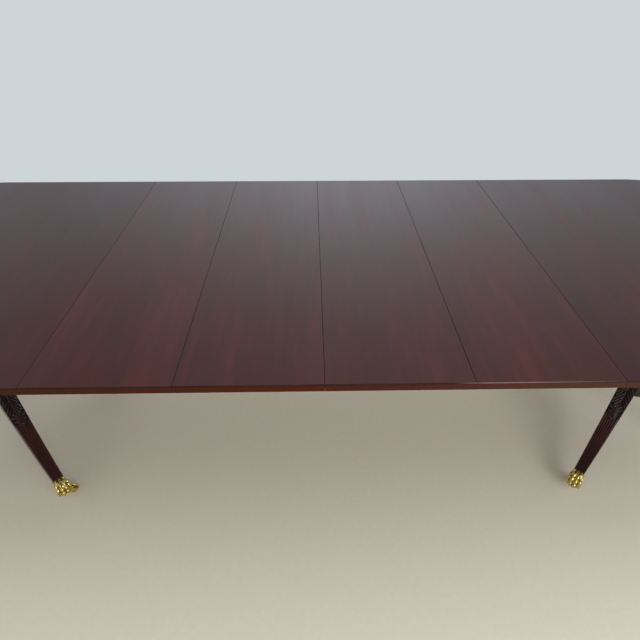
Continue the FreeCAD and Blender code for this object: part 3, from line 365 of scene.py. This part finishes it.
def crispBoard(name):
    build = bmesh.new()
    build.from_mesh(nodes[name].data)
    bmesh.ops.remove_doubles(build, verts=build.verts, dist=1e-6)
    corners = list(build.verts)
    spots = np.array([corner.co for corner in corners])
    packed, drawn, chamfer = (arrisSet[key] for key in ("packed", "drawn", "chamfer"))
    atSeam = seamSide(spots[:, 0])
    for level in (spots[:, 2].min(), spots[:, 2].max()):
        deep = np.abs(spots[:, 2] - level)
        wall = spots[np.abs(deep - packed) < arrisSet["slack"]]  # where the round meets the upright edge
        for number in np.flatnonzero(deep < packed + arrisSet["slack"]):
            spot = spots[number]
            far = np.hypot(wall[:, 0] - spot[0], wall[:, 1] - spot[1])
            if far.min() > packed + chamfer:
                continue
            home = np.array([*wall[far.argmin(), :2], level])
            if atSeam[number]:  # the seam's chamfer keeps its size
                sunk = np.interp(deep[number], (0, chamfer, packed), (0, chamfer, drawn))
                inset = drawn - math.sqrt(drawn ** 2 - (drawn - sunk) ** 2)
                corners[number].co = (spot[0], home[1] - math.copysign(inset, home[1]),
                                      level + math.copysign(sunk, spot[2] - level))
            else:
                corners[number].co = home + (spot - home) * drawn / packed
    mesh = bpy.data.meshes.new(f"{name}_board")
    build.to_mesh(mesh)
    build.free()
    mesh.set_sharp_from_angle(angle=math.radians(arrisSet["sharpAngle"]))
    mesh.polygons.foreach_set("use_smooth", [max(map(abs, face.normal)) < arrisSet["flat"] for face in mesh.polygons])
    for wood in (boardWood, arrisWood, edgeWood, seamWax):
        mesh.materials.append(wood)
    rise = np.array([face.normal.z for face in mesh.polygons])
    bevel = np.where(seamSide(np.array([face.center.x for face in mesh.polygons])), 3, 1)
    edges = np.where(rise > arrisSet["rising"], bevel, 2)
    mesh.polygons.foreach_set("material_index", np.where(np.abs(rise) > arrisSet["flat"], 0, edges))
    board = bpy.data.objects.new(f"{name}_board", mesh)
    scene.collection.objects.link(board)
    return board


boardBodies = {"left_end_top": "left_half", "right_end_top": "right_half"}
boardBodies.update({f"leaf_{number}": f"leaf_{number}" for number in (1, 2, 3, 4)})
for name, body in boardBodies.items():
    board = crispBoard(name)
    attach(board, body)
    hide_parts(name)
print("boards edged:", len(boardBodies))

# places of the legs: pedestal axis, heading of each leg and the way its caster trails
pedestalX = 1.1286
legHeadings = {
    "left_front_inner": (-45, 53), "left_front_outer": (-135, 160),
    "left_rear_inner": (45, -20), "left_rear_outer": (135, 100),
    "right_front_inner": (-135, 62), "right_front_outer": (-45, 15),
    "right_rear_inner": (135, 200), "right_rear_outer": (45, -75),
}


def meshObject(name, points, faces, material, hollow, recess=None):  # hollow: 0 on high places, 1 in the deepest recess
    mesh = bpy.data.meshes.new(name)
    mesh.from_pydata(points, [], faces)
    mesh.attributes.new("hollow", "FLOAT", "POINT").data.foreach_set("value", np.asarray(hollow, np.float32))
    mesh.materials.append(material)
    if recess:
        mesh.materials.append(recess)
        dark = np.asarray(hollow)
        # the deepest faces take the wax material that paints shade
        mesh.polygons.foreach_set("material_index", [int(dark[list(face)].mean() > 0.5) for face in faces])
    mesh.polygons.foreach_set("use_smooth", [True] * len(mesh.polygons))
    mesh.update()
    thing = bpy.data.objects.new(name, mesh)
    scene.collection.objects.link(thing)
    return thing


def smoothStep(low, high, x):
    t = np.clip((x - low) / (high - low), 0, 1)
    return t * t * (3 - 2 * t)


# sabre leg: outer face on one arc, underside on another, sides tapering to the foot
legSet = {
    "start": 0.045, "crownHeight": 0.384, "reach": 0.406, "footHeight": 0.082, "footSlope": 20.0, "footDepth": 0.034,
    "underHeight": 0.235, "underRadius": 1.280, "hubLine": 0.060, "hubRadius": 0.0596, "hubWidth": 0.058, "footWidth": 0.032,
    "arris": 0.0022, "rowPitch": 0.0010, "leafSpare": 0.012, "plainRows": 36, "acrossRows": 78, "sideRows": 6, "underStep": 6,
    # a little painted shade on the leg's sides and underside, a little more on its closed ends
    "plainHollow": 0.12, "endHollow": 0.2,
}
# acanthus on the knee, drawn along the face from the hub: flutes that leave a double midrib and sweep to the edges in lobes,
# a plain tongue that turns over below the rib, a scroll at its tip and two curls on each side
leafSet = {
    "length": 0.234, "flute": 0.0145, "flutesPerLobe": 3, "flowStart": 0.2, "sweep": 0.046, "sweepWidth": 0.024,
    "sweepPower": 0.66, "lobesEnd": 0.190, "lobesFade": (-0.022, 0.004), "notch": 0.0065, "edgeGap": 0.0008, "edgeDip": 0.0016,
    "lip": 0.0014, "lift": 0.0024, "fluteRise": 0.0036, "valley": (0.001, 0.006),
    "ribHalf": 0.0034, "ribRise": 0.0052, "ribEnd": 0.166,
    "tongueStart": 0.154, "tongueWidth": 0.0150, "tongueLift": 0.0040, "tongueLip": 0.0016,
    "scroll": (0.2235, 0.0085, 0.0042), "scrollRise": 0.0010, "scrollGroove": 0.0007, "veinPitch": 0.24, "veinDepth": 0.0007,
    "curls": ((0.187, 0.0165, 0.0064), (0.2015, 0.0150, 0.0052)),  # along the leg, off its middle, radius
    "curlBase": 0.0016, "curlRise": 0.0017, "curlGroove": 0.0006, "curlEye": 0.25, "groundFade": (0.004, -0.030),
}
slope = math.radians(legSet["footSlope"])
fall = legSet["crownHeight"] - legSet["footHeight"]
run = legSet["reach"] - legSet["start"]
faceRadius = (fall ** 2 + run ** 2) / (2 * (fall * math.cos(slope) - run * math.sin(slope)))
faceX = legSet["reach"] + faceRadius * math.sin(slope)
faceZ = legSet["footHeight"] + faceRadius * math.cos(slope)
footLow = Vector((legSet["reach"] - legSet["footDepth"] * math.sin(slope),
                  legSet["footHeight"] - legSet["footDepth"] * math.cos(slope)))
hubLow = Vector((legSet["start"], legSet["underHeight"]))
chord = footLow - hubLow
sagLine = Vector((-chord.y, chord.x)).normalized() * math.sqrt(legSet["underRadius"] ** 2 - chord.length_squared / 4)
underX, underZ = (hubLow + footLow) / 2 + sagLine
hubLine = legSet["hubLine"]
legTaper = (legSet["hubWidth"] - legSet["footWidth"]) / 2 / (legSet["reach"] - hubLine)
legApex = hubLine + legSet["hubWidth"] / 2 / legTaper  # where the sides would meet


def kneeLeaf(arc, side, half):  # relief and hollow of the leaf at a distance along the face and off its middle line
    off = np.abs(side)
    flow = arc - leafSet["sweep"] * (off / leafSet["sweepWidth"]) ** leafSet["sweepPower"] + leafSet["flowStart"]
    ridge = np.abs(2 * (flow / leafSet["flute"] % 1) - 1) ** 1.3  # 1 on the edge between two flutes
    lobe = flow / (leafSet["flute"] * leafSet["flutesPerLobe"]) % 1  # 0 at a lobe's upper edge, 1 at its lower one
    bulge = np.sqrt(np.clip(1 - (2 * lobe - 1) ** 2, 0, 1))
    margin = half - leafSet["edgeGap"] - leafSet["notch"] * (1 - bulge ** 0.7) - leafSet["edgeDip"] * (1 - ridge)
    fadeFrom, fadeTo = (leafSet["lobesEnd"] + past for past in leafSet["lobesFade"])
    margin = margin - smoothStep(fadeFrom, fadeTo, arc) * half
    inside = smoothStep(0, leafSet["lip"], margin - off)
    rising = smoothStep(0, 0.10, lobe) * (0.35 + 0.65 * lobe)
    pillow = 0.6 + 0.4 * np.sin(math.pi * np.clip(off / half, 0, 1))
    relief = inside * pillow * (leafSet["lift"] * rising + leafSet["fluteRise"] * ridge * smoothStep(*leafSet["valley"], off))
    # hollow carries painted shade into the flute bottoms, lobe edges and grooves
    hollow = np.where(inside > 0.5, 0.85 * (1 - ridge) ** 1.5 + 0.45 * smoothStep(0.12, 0.0, lobe), 0)
    for place, out, size in leafSet["curls"]:  # a button with a turned groove
        far = np.hypot(arc - place, off - np.minimum(out, half - size)) / size
        dome = np.sqrt(np.clip(1 - far ** 2, 0, 1))
        turn = np.cos(2 * math.pi * (1.6 * far - np.arctan2(off - out, arc - place) / (2 * math.pi)))
        groove = turn * (far > leafSet["curlEye"])
        height = np.where(far < 1, leafSet["curlBase"] + leafSet["curlRise"] * dome + leafSet["curlGroove"] * groove, 0)
        hollow = np.where(height > relief, 0.4 * (1 - turn) * (far > leafSet["curlEye"]), hollow)
        relief = np.maximum(relief, height)
        inside = np.maximum(inside, far < 1)
    ribShare = np.clip(arc / leafSet["ribEnd"], 0, 1)
    across = off / (leafSet["ribHalf"] * (1 - 0.5 * ribShare))
    rib = np.sqrt(np.clip(1 - (2 * np.clip(across, 0, 1) - 1) ** 2, 0, 1))
    onRib = (across < 1) & (arc < leafSet["ribEnd"])
    relief = np.where(onRib, leafSet["ribRise"] * (1 - 0.45 * ribShare) * (0.45 + 0.55 * rib), relief)
    hollow = np.where(onRib, (1 - rib) ** 2, hollow)
    share = np.clip((arc - leafSet["tongueStart"]) / (leafSet["length"] - leafSet["tongueStart"]), 0, 1)
    tip = np.sqrt(1 - np.clip((share - 0.5) / 0.5, 0, 1) ** 2)  # the lower half is rounded
    wide = leafSet["tongueWidth"] * smoothStep(-0.05, 0.3, share) * tip + 1e-6
    fits = smoothStep(0, leafSet["tongueLip"], wide - off) * (share > 0) * (share < 1)
    height = fits * leafSet["tongueLift"] * (0.45 + 0.55 * share ** 0.8) * (1 - 0.5 * np.clip(off / wide, 0, 1) ** 2.2)
    place, size, coil = leafSet["scroll"]
    far = np.hypot(arc - place, side) / size
    turn = np.cos(2 * math.pi * (far * size / coil - np.arctan2(side, arc - place) / (2 * math.pi)))
    dome = np.sqrt(np.clip(1 - far ** 2, 0, 1))
    height = height + np.where(far < 1, (leafSet["scrollRise"] * dome + leafSet["scrollGroove"] * turn) * fits, 0)
    vein = np.abs(np.sin(math.pi * off / (leafSet["veinPitch"] * wide) + 0.4))  # fine veins that run to the tip
    height = height - leafSet["veinDepth"] * fits * (1 - vein) * (far >= 1)
    dark = np.where(far < 1, 0.4 * (1 - turn), np.maximum(0.30 + 0.19 * (1 - vein), 0.5 * (1 - fits)))
    hollow = np.where(height > relief, dark, hollow)
    relief = np.maximum(relief, height)
    inside = np.maximum(np.maximum(inside, fits), onRib)
    # painted shade on the ground beside the leaf's lower end
    fadeFrom, fadeTo = (leafSet["length"] + past for past in leafSet["groundFade"])
    ground = (1 - inside) * smoothStep(fadeFrom, fadeTo, arc)
    return relief, np.maximum(hollow, 0.9 * ground)


def legShape():  # points, faces and hollow of one leg, heading along X from the pedestal axis
    hubAngle = math.asin((faceX - hubLine) / faceRadius)
    faceLength = faceRadius * (hubAngle - slope)
    fineLength = leafSet["length"] + legSet["leafSpare"]
    rows = np.concatenate([np.linspace(0, fineLength, int(fineLength / legSet["rowPitch"]), endpoint=False) / faceLength,
                           np.linspace(fineLength / faceLength, 1, legSet["plainRows"])])
    across = np.linspace(-1, 1, legSet["acrossRows"])
    sides = np.linspace(0, 1, legSet["sideRows"] + 2)[1:-1]
    points, hollows = [], []
    for share in rows:
        ring, dark = [], []
        offs = across * (legSet["hubWidth"] / 2)
        begin = np.sqrt(legSet["hubRadius"] ** 2 - offs ** 2)
        first = np.arcsin((faceX - begin) / faceRadius)
        angle = first + (slope - first) * share
        reach = faceX - faceRadius * np.sin(angle)
        half = legSet["hubWidth"] / 2 - legTaper * (reach - hubLine)
        side = across * half
        relief, hollow = kneeLeaf(faceRadius * (hubAngle - angle), side, half)
        edge = np.clip((half - np.abs(side)) / legSet["arris"], 0, 1)
        eased = legSet["arris"] * (1 - np.sqrt(1 - (1 - edge) ** 2))  # both faces round off towards the sides
        relief = relief * smoothStep(0, 1, edge) - eased
        low = np.arcsin((underX - begin) / legSet["underRadius"])
        lowEnd = math.asin((underX - footLow.x) / legSet["underRadius"])
        lowAngle = low + (lowEnd - low) * share
        lowX = underX - legSet["underRadius"] * np.sin(lowAngle)
        under = np.stack([lowX, across * (legSet["hubWidth"] / 2 - legTaper * (lowX - hubLine)),
                          underZ - legSet["underRadius"] * np.cos(lowAngle) + eased], 1)
        top = np.stack([faceX - (faceRadius - relief) * np.sin(angle), side,
                        faceZ - (faceRadius - relief) * np.cos(angle)], 1)
        under = under[::legSet["underStep"]]
        lowRight, lowLeft = under[-1], under[0]
        ring += list(top)
        ring += [top[-1] * (1 - t) + lowRight * t for t in sides]
        ring += list(under[::-1])
        ring += [lowLeft * (1 - t) + top[0] * t for t in sides]
        dark += list(hollow) + [legSet["plainHollow"]] * (len(ring) - len(hollow))
        points.append(ring)
        hollows.append(dark)
    count = len(points[0])
    faces = []
    for row in range(len(points) - 1):
        for number in range(count):
            after = (number + 1) % count
            faces.append((row * count + number, row * count + after,
                          (row + 1) * count + after, (row + 1) * count + number))
    flat = [tuple(p) for ring in points for p in ring]
    dark = [d for ring in hollows for d in ring]
    for row, flip in ((0, False), (len(points) - 1, True)):  # close both ends
        middle = len(flat)
        flat.append(tuple(np.mean(points[row], axis=0)))
        dark.append(legSet["endHollow"])
        for number in range(count):
            after = (number + 1) % count
            pair = (row * count + number, row * count + after)
            faces.append((middle, *pair) if flip else (middle, *pair[::-1]))
    return flat, faces, dark


legPoints, legFaces, legHollow = legShape()
print("leg shape:", len(legPoints), "points")

# reeds: rods that follow the outer face, fanned from the point where the leg's sides would meet
reedSet = {
    "count": 6, "radius": 0.0026, "growth": 0.46, "sink": 0.0011, "footAngle": legSet["footSlope"] + 0.5,
    "spanAngle": 19.8, "margin": 0.0012, "roundFrom": 0.975, "waxAndShadeFrom": 0.0012, "waxAndShadeDepth": 0.0016, "waxAndShadeMost": 0.9,
}
spare = legSet["footWidth"] / 2 - reedSet["radius"] - reedSet["margin"]
reedInputs = {
    "Count": reedSet["count"], "Foot Radius": reedSet["radius"], "Knee Radius": reedSet["radius"] * (1 + reedSet["growth"]),
    "Round From": reedSet["roundFrom"], "Arc Radius": faceRadius + reedSet["sink"],
    "Start Angle": -math.pi / 2 - math.radians(reedSet["footAngle"]), "Sweep Angle": -math.radians(reedSet["spanAngle"]),
    "Apex": legApex, "Arc Offset": faceX - legApex, "Arc Height": faceZ,
    "Fan Angle": math.atan(spare / (legApex - legSet["reach"])),
}
reedTree = bpy.data.node_groups.new("reeds", "GeometryNodeTree")
reedTree.is_modifier = True
sockets = {}
for label in reedInputs:
    kind = "NodeSocketInt" if label == "Count" else "NodeSocketFloat"
    sockets[label] = reedTree.interface.new_socket(label, in_out="INPUT", socket_type=kind).identifier
sockets["Wood"] = reedTree.interface.new_socket("Wood", in_out="INPUT", socket_type="NodeSocketMaterial").identifier
reedTree.interface.new_socket("Geometry", in_out="OUTPUT", socket_type="NodeSocketGeometry")
given = addNode(reedTree, "NodeGroupInput").outputs
arc = addNode(reedTree, "GeometryNodeCurveArc", {"Resolution": 96, "Radius": given["Arc Radius"],
                                                 "Start Angle": given["Start Angle"], "Sweep Angle": given["Sweep Angle"]})
stand = addNode(reedTree, "ShaderNodeCombineXYZ", {"X": given["Arc Offset"], "Z": given["Arc Height"]})
upright = addNode(reedTree, "GeometryNodeTransform", {"Geometry": arc.outputs[0], "Translation": stand.outputs[0],
                                                      "Rotation": (math.pi / 2, 0, 0)})
along = addNode(reedTree, "GeometryNodeSplineParameter").outputs["Factor"]
swell = addNode(reedTree, "ShaderNodeMapRange", {0: along, 3: given["Foot Radius"], 4: given["Knee Radius"]})
tip = addNode(reedTree, "ShaderNodeMapRange", {0: along, 1: given["Round From"], 2: 1.0, 3: 1.0, 4: 0.05},
              interpolation_type="SMOOTHSTEP")
thick = addNode(reedTree, "ShaderNodeMath", {0: swell.outputs[0], 1: tip.outputs[0]}, operation="MULTIPLY")
ringCurve = addNode(reedTree, "GeometryNodeCurvePrimitiveCircle", {"Resolution": 16, "Radius": 1.0})
rod = addNode(reedTree, "GeometryNodeCurveToMesh", {"Curve": upright.outputs[0], "Profile Curve": ringCurve.outputs[0],
                                                    "Scale": thick.outputs[0], "Fill Caps": True})
spots = addNode(reedTree, "GeometryNodePoints", {"Count": given["Count"]})
last = addNode(reedTree, "ShaderNodeMath", {0: given["Count"], 1: 1.0}, operation="SUBTRACT")
left = addNode(reedTree, "ShaderNodeMath", {0: given["Fan Angle"], 1: -1.0}, operation="MULTIPLY")
order = addNode(reedTree, "GeometryNodeInputIndex").outputs[0]
fan = addNode(reedTree, "ShaderNodeMapRange", {0: order, 2: last.outputs[0], 3: left.outputs[0], 4: given["Fan Angle"]})
fanTurn = addNode(reedTree, "ShaderNodeCombineXYZ", {"Z": fan.outputs[0]})
turnBy = addNode(reedTree, "FunctionNodeEulerToRotation", {0: fanTurn.outputs[0]})
rods = addNode(reedTree, "GeometryNodeInstanceOnPoints", {"Points": spots.outputs[0], "Instance": rod.outputs[0],
                                                          "Rotation": turnBy.outputs[0]})
real = addNode(reedTree, "GeometryNodeRealizeInstances", {"Geometry": rods.outputs[0]})
home = addNode(reedTree, "ShaderNodeCombineXYZ", {"X": given["Apex"]})
back = addNode(reedTree, "GeometryNodeTransform", {"Geometry": real.outputs[0], "Translation": home.outputs[0]})
smooth = addNode(reedTree, "GeometryNodeSetShadeSmooth", {"Geometry": back.outputs[0]})
waxed = addNode(reedTree, "GeometryNodeSetMaterial", {"Geometry": smooth.outputs[0], "Material": given["Wood"]})
addNode(reedTree, "NodeGroupOutput", {0: waxed.outputs[0]})

reedHolder = bpy.data.objects.new("reeds", bpy.data.meshes.new("reeds"))
scene.collection.objects.link(reedHolder)
modifier = reedHolder.modifiers.new("reeds", "NODES")
modifier.node_group = reedTree
for label, amount in reedInputs.items():
    modifier[sockets[label]] = amount
modifier[sockets["Wood"]] = reedWood
bpy.context.view_layer.update()
reedMesh = bpy.data.meshes.new_from_object(reedHolder.evaluated_get(bpy.context.evaluated_depsgraph_get()))
bpy.data.objects.remove(reedHolder)
reedPoints = [tuple(v.co) for v in reedMesh.vertices]
reedFaces = [tuple(f.vertices) for f in reedMesh.polygons]
# painted shade and old wax lie low between the rods
reedFar = np.hypot(np.array(reedPoints)[:, 0] - faceX, np.array(reedPoints)[:, 2] - faceZ)
reedHollow = np.clip((reedFar - (faceRadius - reedSet["waxAndShadeFrom"])) / reedSet["waxAndShadeDepth"], 0, reedSet["waxAndShadeMost"])
print("reeds:", reedSet["count"], "rods,", len(reedFaces), "faces")

# cast paw, in millimetres from the caster's axis: lumps as (x, y, z), (length, width, height), front end down, turned out;
# those off the middle line are mirrored
pawSet = {
    "reach": 0.405, "base": 0.0331, "voxel": 0.0010, "smoothing": 3, "cavity": 0.0009, "cavityRounds": 14,
    "body": [((0, 0, 57), (22, 18, 24), 0, 0), ((-11, 0, 46), (11.5, 17, 14), 0, 0), ((2, 0, 37), (23, 20, 6), 0, 0)],
    "knuckles": [((8, 5.8, 77), (12.5, 5.3, 6.8), 30, 4), ((2.5, 16.2, 72), (12.5, 5.3, 7.0), 34, 22)],
    "joints": [((19.5, 6.4, 61.5), (10.5, 6.2, 7.0), 66, 6), ((11.0, 17.6, 57.0), (10.2, 6.1, 6.8), 62, 40)],
    "tips": [((18.8, 6.4, 44.0), (7.6, 6.3, 8.2), -12, 8), ((10.6, 16.4, 42.5), (7.2, 6.1, 7.8), -12, 45)],
    "claws": [((22.8, 6.5, 37.2), (3.0, 2.6, 4.4), 20, 8), ((13.6, 19.6, 36.6), (3.0, 2.6, 4.2), 20, 45)],
    "collar": [(-8.5, 17.3, 18.9), (-7.6, 18.2, 19.7), (-5.5, 18.3, 19.8), (2.0, 18.6, 19.6), (12, 17, 18)],
    "collarSteps": 64, "squareness": 0.6,
    "locks": 11, "lockSize": (8.5, 3.1, 2.2), "lockPlace": -3.6, "lockTurns": (-22, 202), "lockWide": 18.0, "lockDeep": 19.2,
    "lockRise": 0.16,
}


def sculptPaw():  # points, faces and hollow of one paw, heading along X from the pedestal axis
    build = bmesh.new()
    for group in ("body", "knuckles", "joints", "tips", "claws"):
        for (x, y, z), size, down, out in pawSet[group]:
            for way in ((1,) if y == 0 else (1, -1)):
                turned = Matrix.Rotation(math.radians(out * way), 4, "Z") @ Matrix.Rotation(math.radians(down), 4, "Y")
                lump = Matrix.Translation((x, y * way, z)) @ turned @ Matrix.Diagonal((*size, 1))
                bmesh.ops.create_icosphere(build, subdivisions=3, radius=1, matrix=lump)
    heading = Vector((math.cos(slope), 0, -math.sin(slope)))
    rise = Vector((math.sin(slope), 0, math.cos(slope)))
    legEnd = Vector((legSet["reach"] + footLow.x, 0, legSet["footHeight"] + footLow.y)) * 500  # middle of the leg's end
    legEnd -= Vector((pawSet["reach"] * 1000, 0, 0))

    def squareSpot(turn, place, wide, deep):  # a place on a rounded square about the leg
        c, s = math.cos(turn), math.sin(turn)
        up = rise * deep * math.copysign(abs(s) ** pawSet["squareness"], s)
        return legEnd + heading * place + up + Vector((0, wide * math.copysign(abs(c) ** pawSet["squareness"], c), 0))

    turns = np.linspace(0, 2 * math.pi, pawSet["collarSteps"], endpoint=False)
    rings = [[build.verts.new(squareSpot(turn, *ring)) for turn in turns] for ring in pawSet["collar"]]
    for low, high in zip(rings, rings[1:]):
        for number in range(pawSet["collarSteps"]):
            build.faces.new((low[number], low[number - 1], high[number - 1], high[number]))
    build.faces.new(rings[0])
    build.faces.new(rings[-1][::-1])
    first, last = (math.radians(turn) for turn in pawSet["lockTurns"])
    for turn in np.linspace(first, last, pawSet["locks"]):  # locks of fur lie back along the leg
        out = (Vector((0, math.cos(turn), 0)) + rise * math.sin(turn)).normalized()
        spot = squareSpot(turn, pawSet["lockPlace"], pawSet["lockWide"], pawSet["lockDeep"])
        aim = (heading + out * pawSet["lockRise"]).normalized()
        turned = Matrix((aim, out.cross(aim), out - aim * out.dot(aim))).transposed().to_4x4()
        lock = Matrix.Translation(spot) @ turned @ Matrix.Diagonal((*pawSet["lockSize"], 1))
        bmesh.ops.create_icosphere(build, subdivisions=2, radius=1, matrix=lock)
    bmesh.ops.recalc_face_normals(build, faces=build.faces)
    bmesh.ops.scale(build, vec=(0.001, 0.001, 0.001), verts=build.verts)
    bmesh.ops.translate(build, vec=(pawSet["reach"], 0, 0), verts=build.verts)
    rough = bpy.data.meshes.new("paw_lumps")
    build.to_mesh(rough)
    build.free()
    clay = bpy.data.objects.new("paw_lumps", rough)
    scene.collection.objects.link(clay)
    remesh = clay.modifiers.new("remesh", "REMESH")
    remesh.mode = "VOXEL"
    remesh.voxel_size = pawSet["voxel"]
    smoothing = clay.modifiers.new("smooth", "SMOOTH")
    smoothing.factor = 0.5
    smoothing.iterations = pawSet["smoothing"]
    bpy.context.view_layer.update()
    cast = bpy.data.meshes.new_from_object(clay.evaluated_get(bpy.context.evaluated_depsgraph_get()))
    bpy.data.objects.remove(clay)
    points = np.array([v.co for v in cast.vertices])
    normals = np.array([v.normal for v in cast.vertices])
    edges = np.array([e.vertices for e in cast.edges])
    smoothed = points.copy()
    count = np.bincount(edges.ravel(), minlength=len(points))[:, None]
    for _ in range(pawSet["cavityRounds"]):  # recesses lie below the smoothed skin
        total = np.zeros_like(points)
        np.add.at(total, edges[:, 0], smoothed[edges[:, 1]])
        np.add.at(total, edges[:, 1], smoothed[edges[:, 0]])
        smoothed = total / count
    # hollow: how deep each place lies in a recess, for the brass's painted shade
    hollow = np.clip(((smoothed - points) * normals).sum(1) / pawSet["cavity"], 0, 1)
    points[:, 2] = np.maximum(points[:, 2], pawSet["base"])  # flat where the caster's plate meets it
    return [tuple(p) for p in points], [tuple(f.vertices) for f in cast.polygons], list(hollow)


pawPoints, pawFaces, pawHollow = sculptPaw()
print("paw sculpted:", len(pawPoints), "points")

# caster wheel, turned: half profile as (off the middle, radius, hollow) in millimetres, with a sunk web and a hub boss;
# the hollow paints shade into the web
wheelSet = {
    "trail": 0.028, "radius": 0.014, "steps": 48,
    "profile": [(0, 14.0, 0), (3.0, 13.95, 0), (4.6, 13.7, 0), (5.8, 13.0, 0), (6.4, 12.0, 0), (6.4, 11.3, 0.1),
                (5.9, 10.7, 0.5), (4.7, 10.2, 0.9), (4.5, 8.0, 0.7), (4.7, 5.7, 0.9), (5.7, 5.2, 0.4), (6.4, 4.6, 0),
                (6.4, 3.1, 0.1), (5.9, 2.55, 0.6)],
}


def turnWheel():  # points, faces and hollow of one wheel, its axle along Y
    half = wheelSet["profile"]
    line = [(-y, r, d) for y, r, d in half[:0:-1]] + half
    count = len(line)
    points, faces, hollow = [], [], []
    for turn in np.linspace(0, 2 * math.pi, wheelSet["steps"], endpoint=False):
        points += [(r * math.cos(turn) / 1000, y / 1000, r * math.sin(turn) / 1000) for y, r, d in line]
        hollow += [d for y, r, d in line]
    for row in range(wheelSet["steps"]):
        ahead = (row + 1) % wheelSet["steps"]
        for number in range(count):  # the last strip lines the bore
            after = (number + 1) % count
            faces.append((row * count + number, row * count + after,
                          ahead * count + after, ahead * count + number))
    return points, faces, hollow


wheelPoints, wheelFaces, wheelHollow = turnWheel()
print("wheel turned:", len(wheelPoints), "points")

reededPoints = legPoints + reedPoints
reededFaces = legFaces + [tuple(i + len(legPoints) for i in f) for f in reedFaces]
reededHollow = list(legHollow) + list(reedHollow)
for corner, (heading, trailing) in legHeadings.items():
    side, spotName = corner.split("_", 1)
    pedestal = Matrix.Translation((pedestalX if side == "right" else -pedestalX, 0, 0))
    place = pedestal @ Matrix.Rotation(math.radians(heading), 4, "Z")
    leg = meshObject(f"{side}_leg_{spotName}_carved", reededPoints, reededFaces, carvedWood, reededHollow, waxAndShade)
    leg.data.materials.append(reedWood)
    for face in leg.data.polygons[len(legFaces):]:
        face.material_index = 2
    paw = meshObject(f"{side}_paw_{spotName}_cast", pawPoints, pawFaces, castBrass, pawHollow)
    wheel = meshObject(f"{side}_wheel_{spotName}_turned", wheelPoints, wheelFaces, castBrass, wheelHollow)
    swivel = Vector(place @ Vector((pawSet["reach"], 0, 0)))
    rolled = (Matrix.Translation((swivel.x, swivel.y, wheelSet["radius"])) @ Matrix.Rotation(math.radians(trailing), 4, "Z")
              @ Matrix.Translation((wheelSet["trail"], 0, 0)))
    pieces = ((leg, "leg", "mahogany", "half", place), (paw, "paw", "brass", "half", place),
              (wheel, "wheel", "brass", f"wheel_{spotName}", rolled))
    for piece, kind, slot, body, home in pieces:
        piece.data.transform(home)
        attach(piece, f"{side}_{body}")
        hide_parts(f"{side}_{kind}_{spotName}")
print("legs, paws and wheels placed:", len(legHeadings))
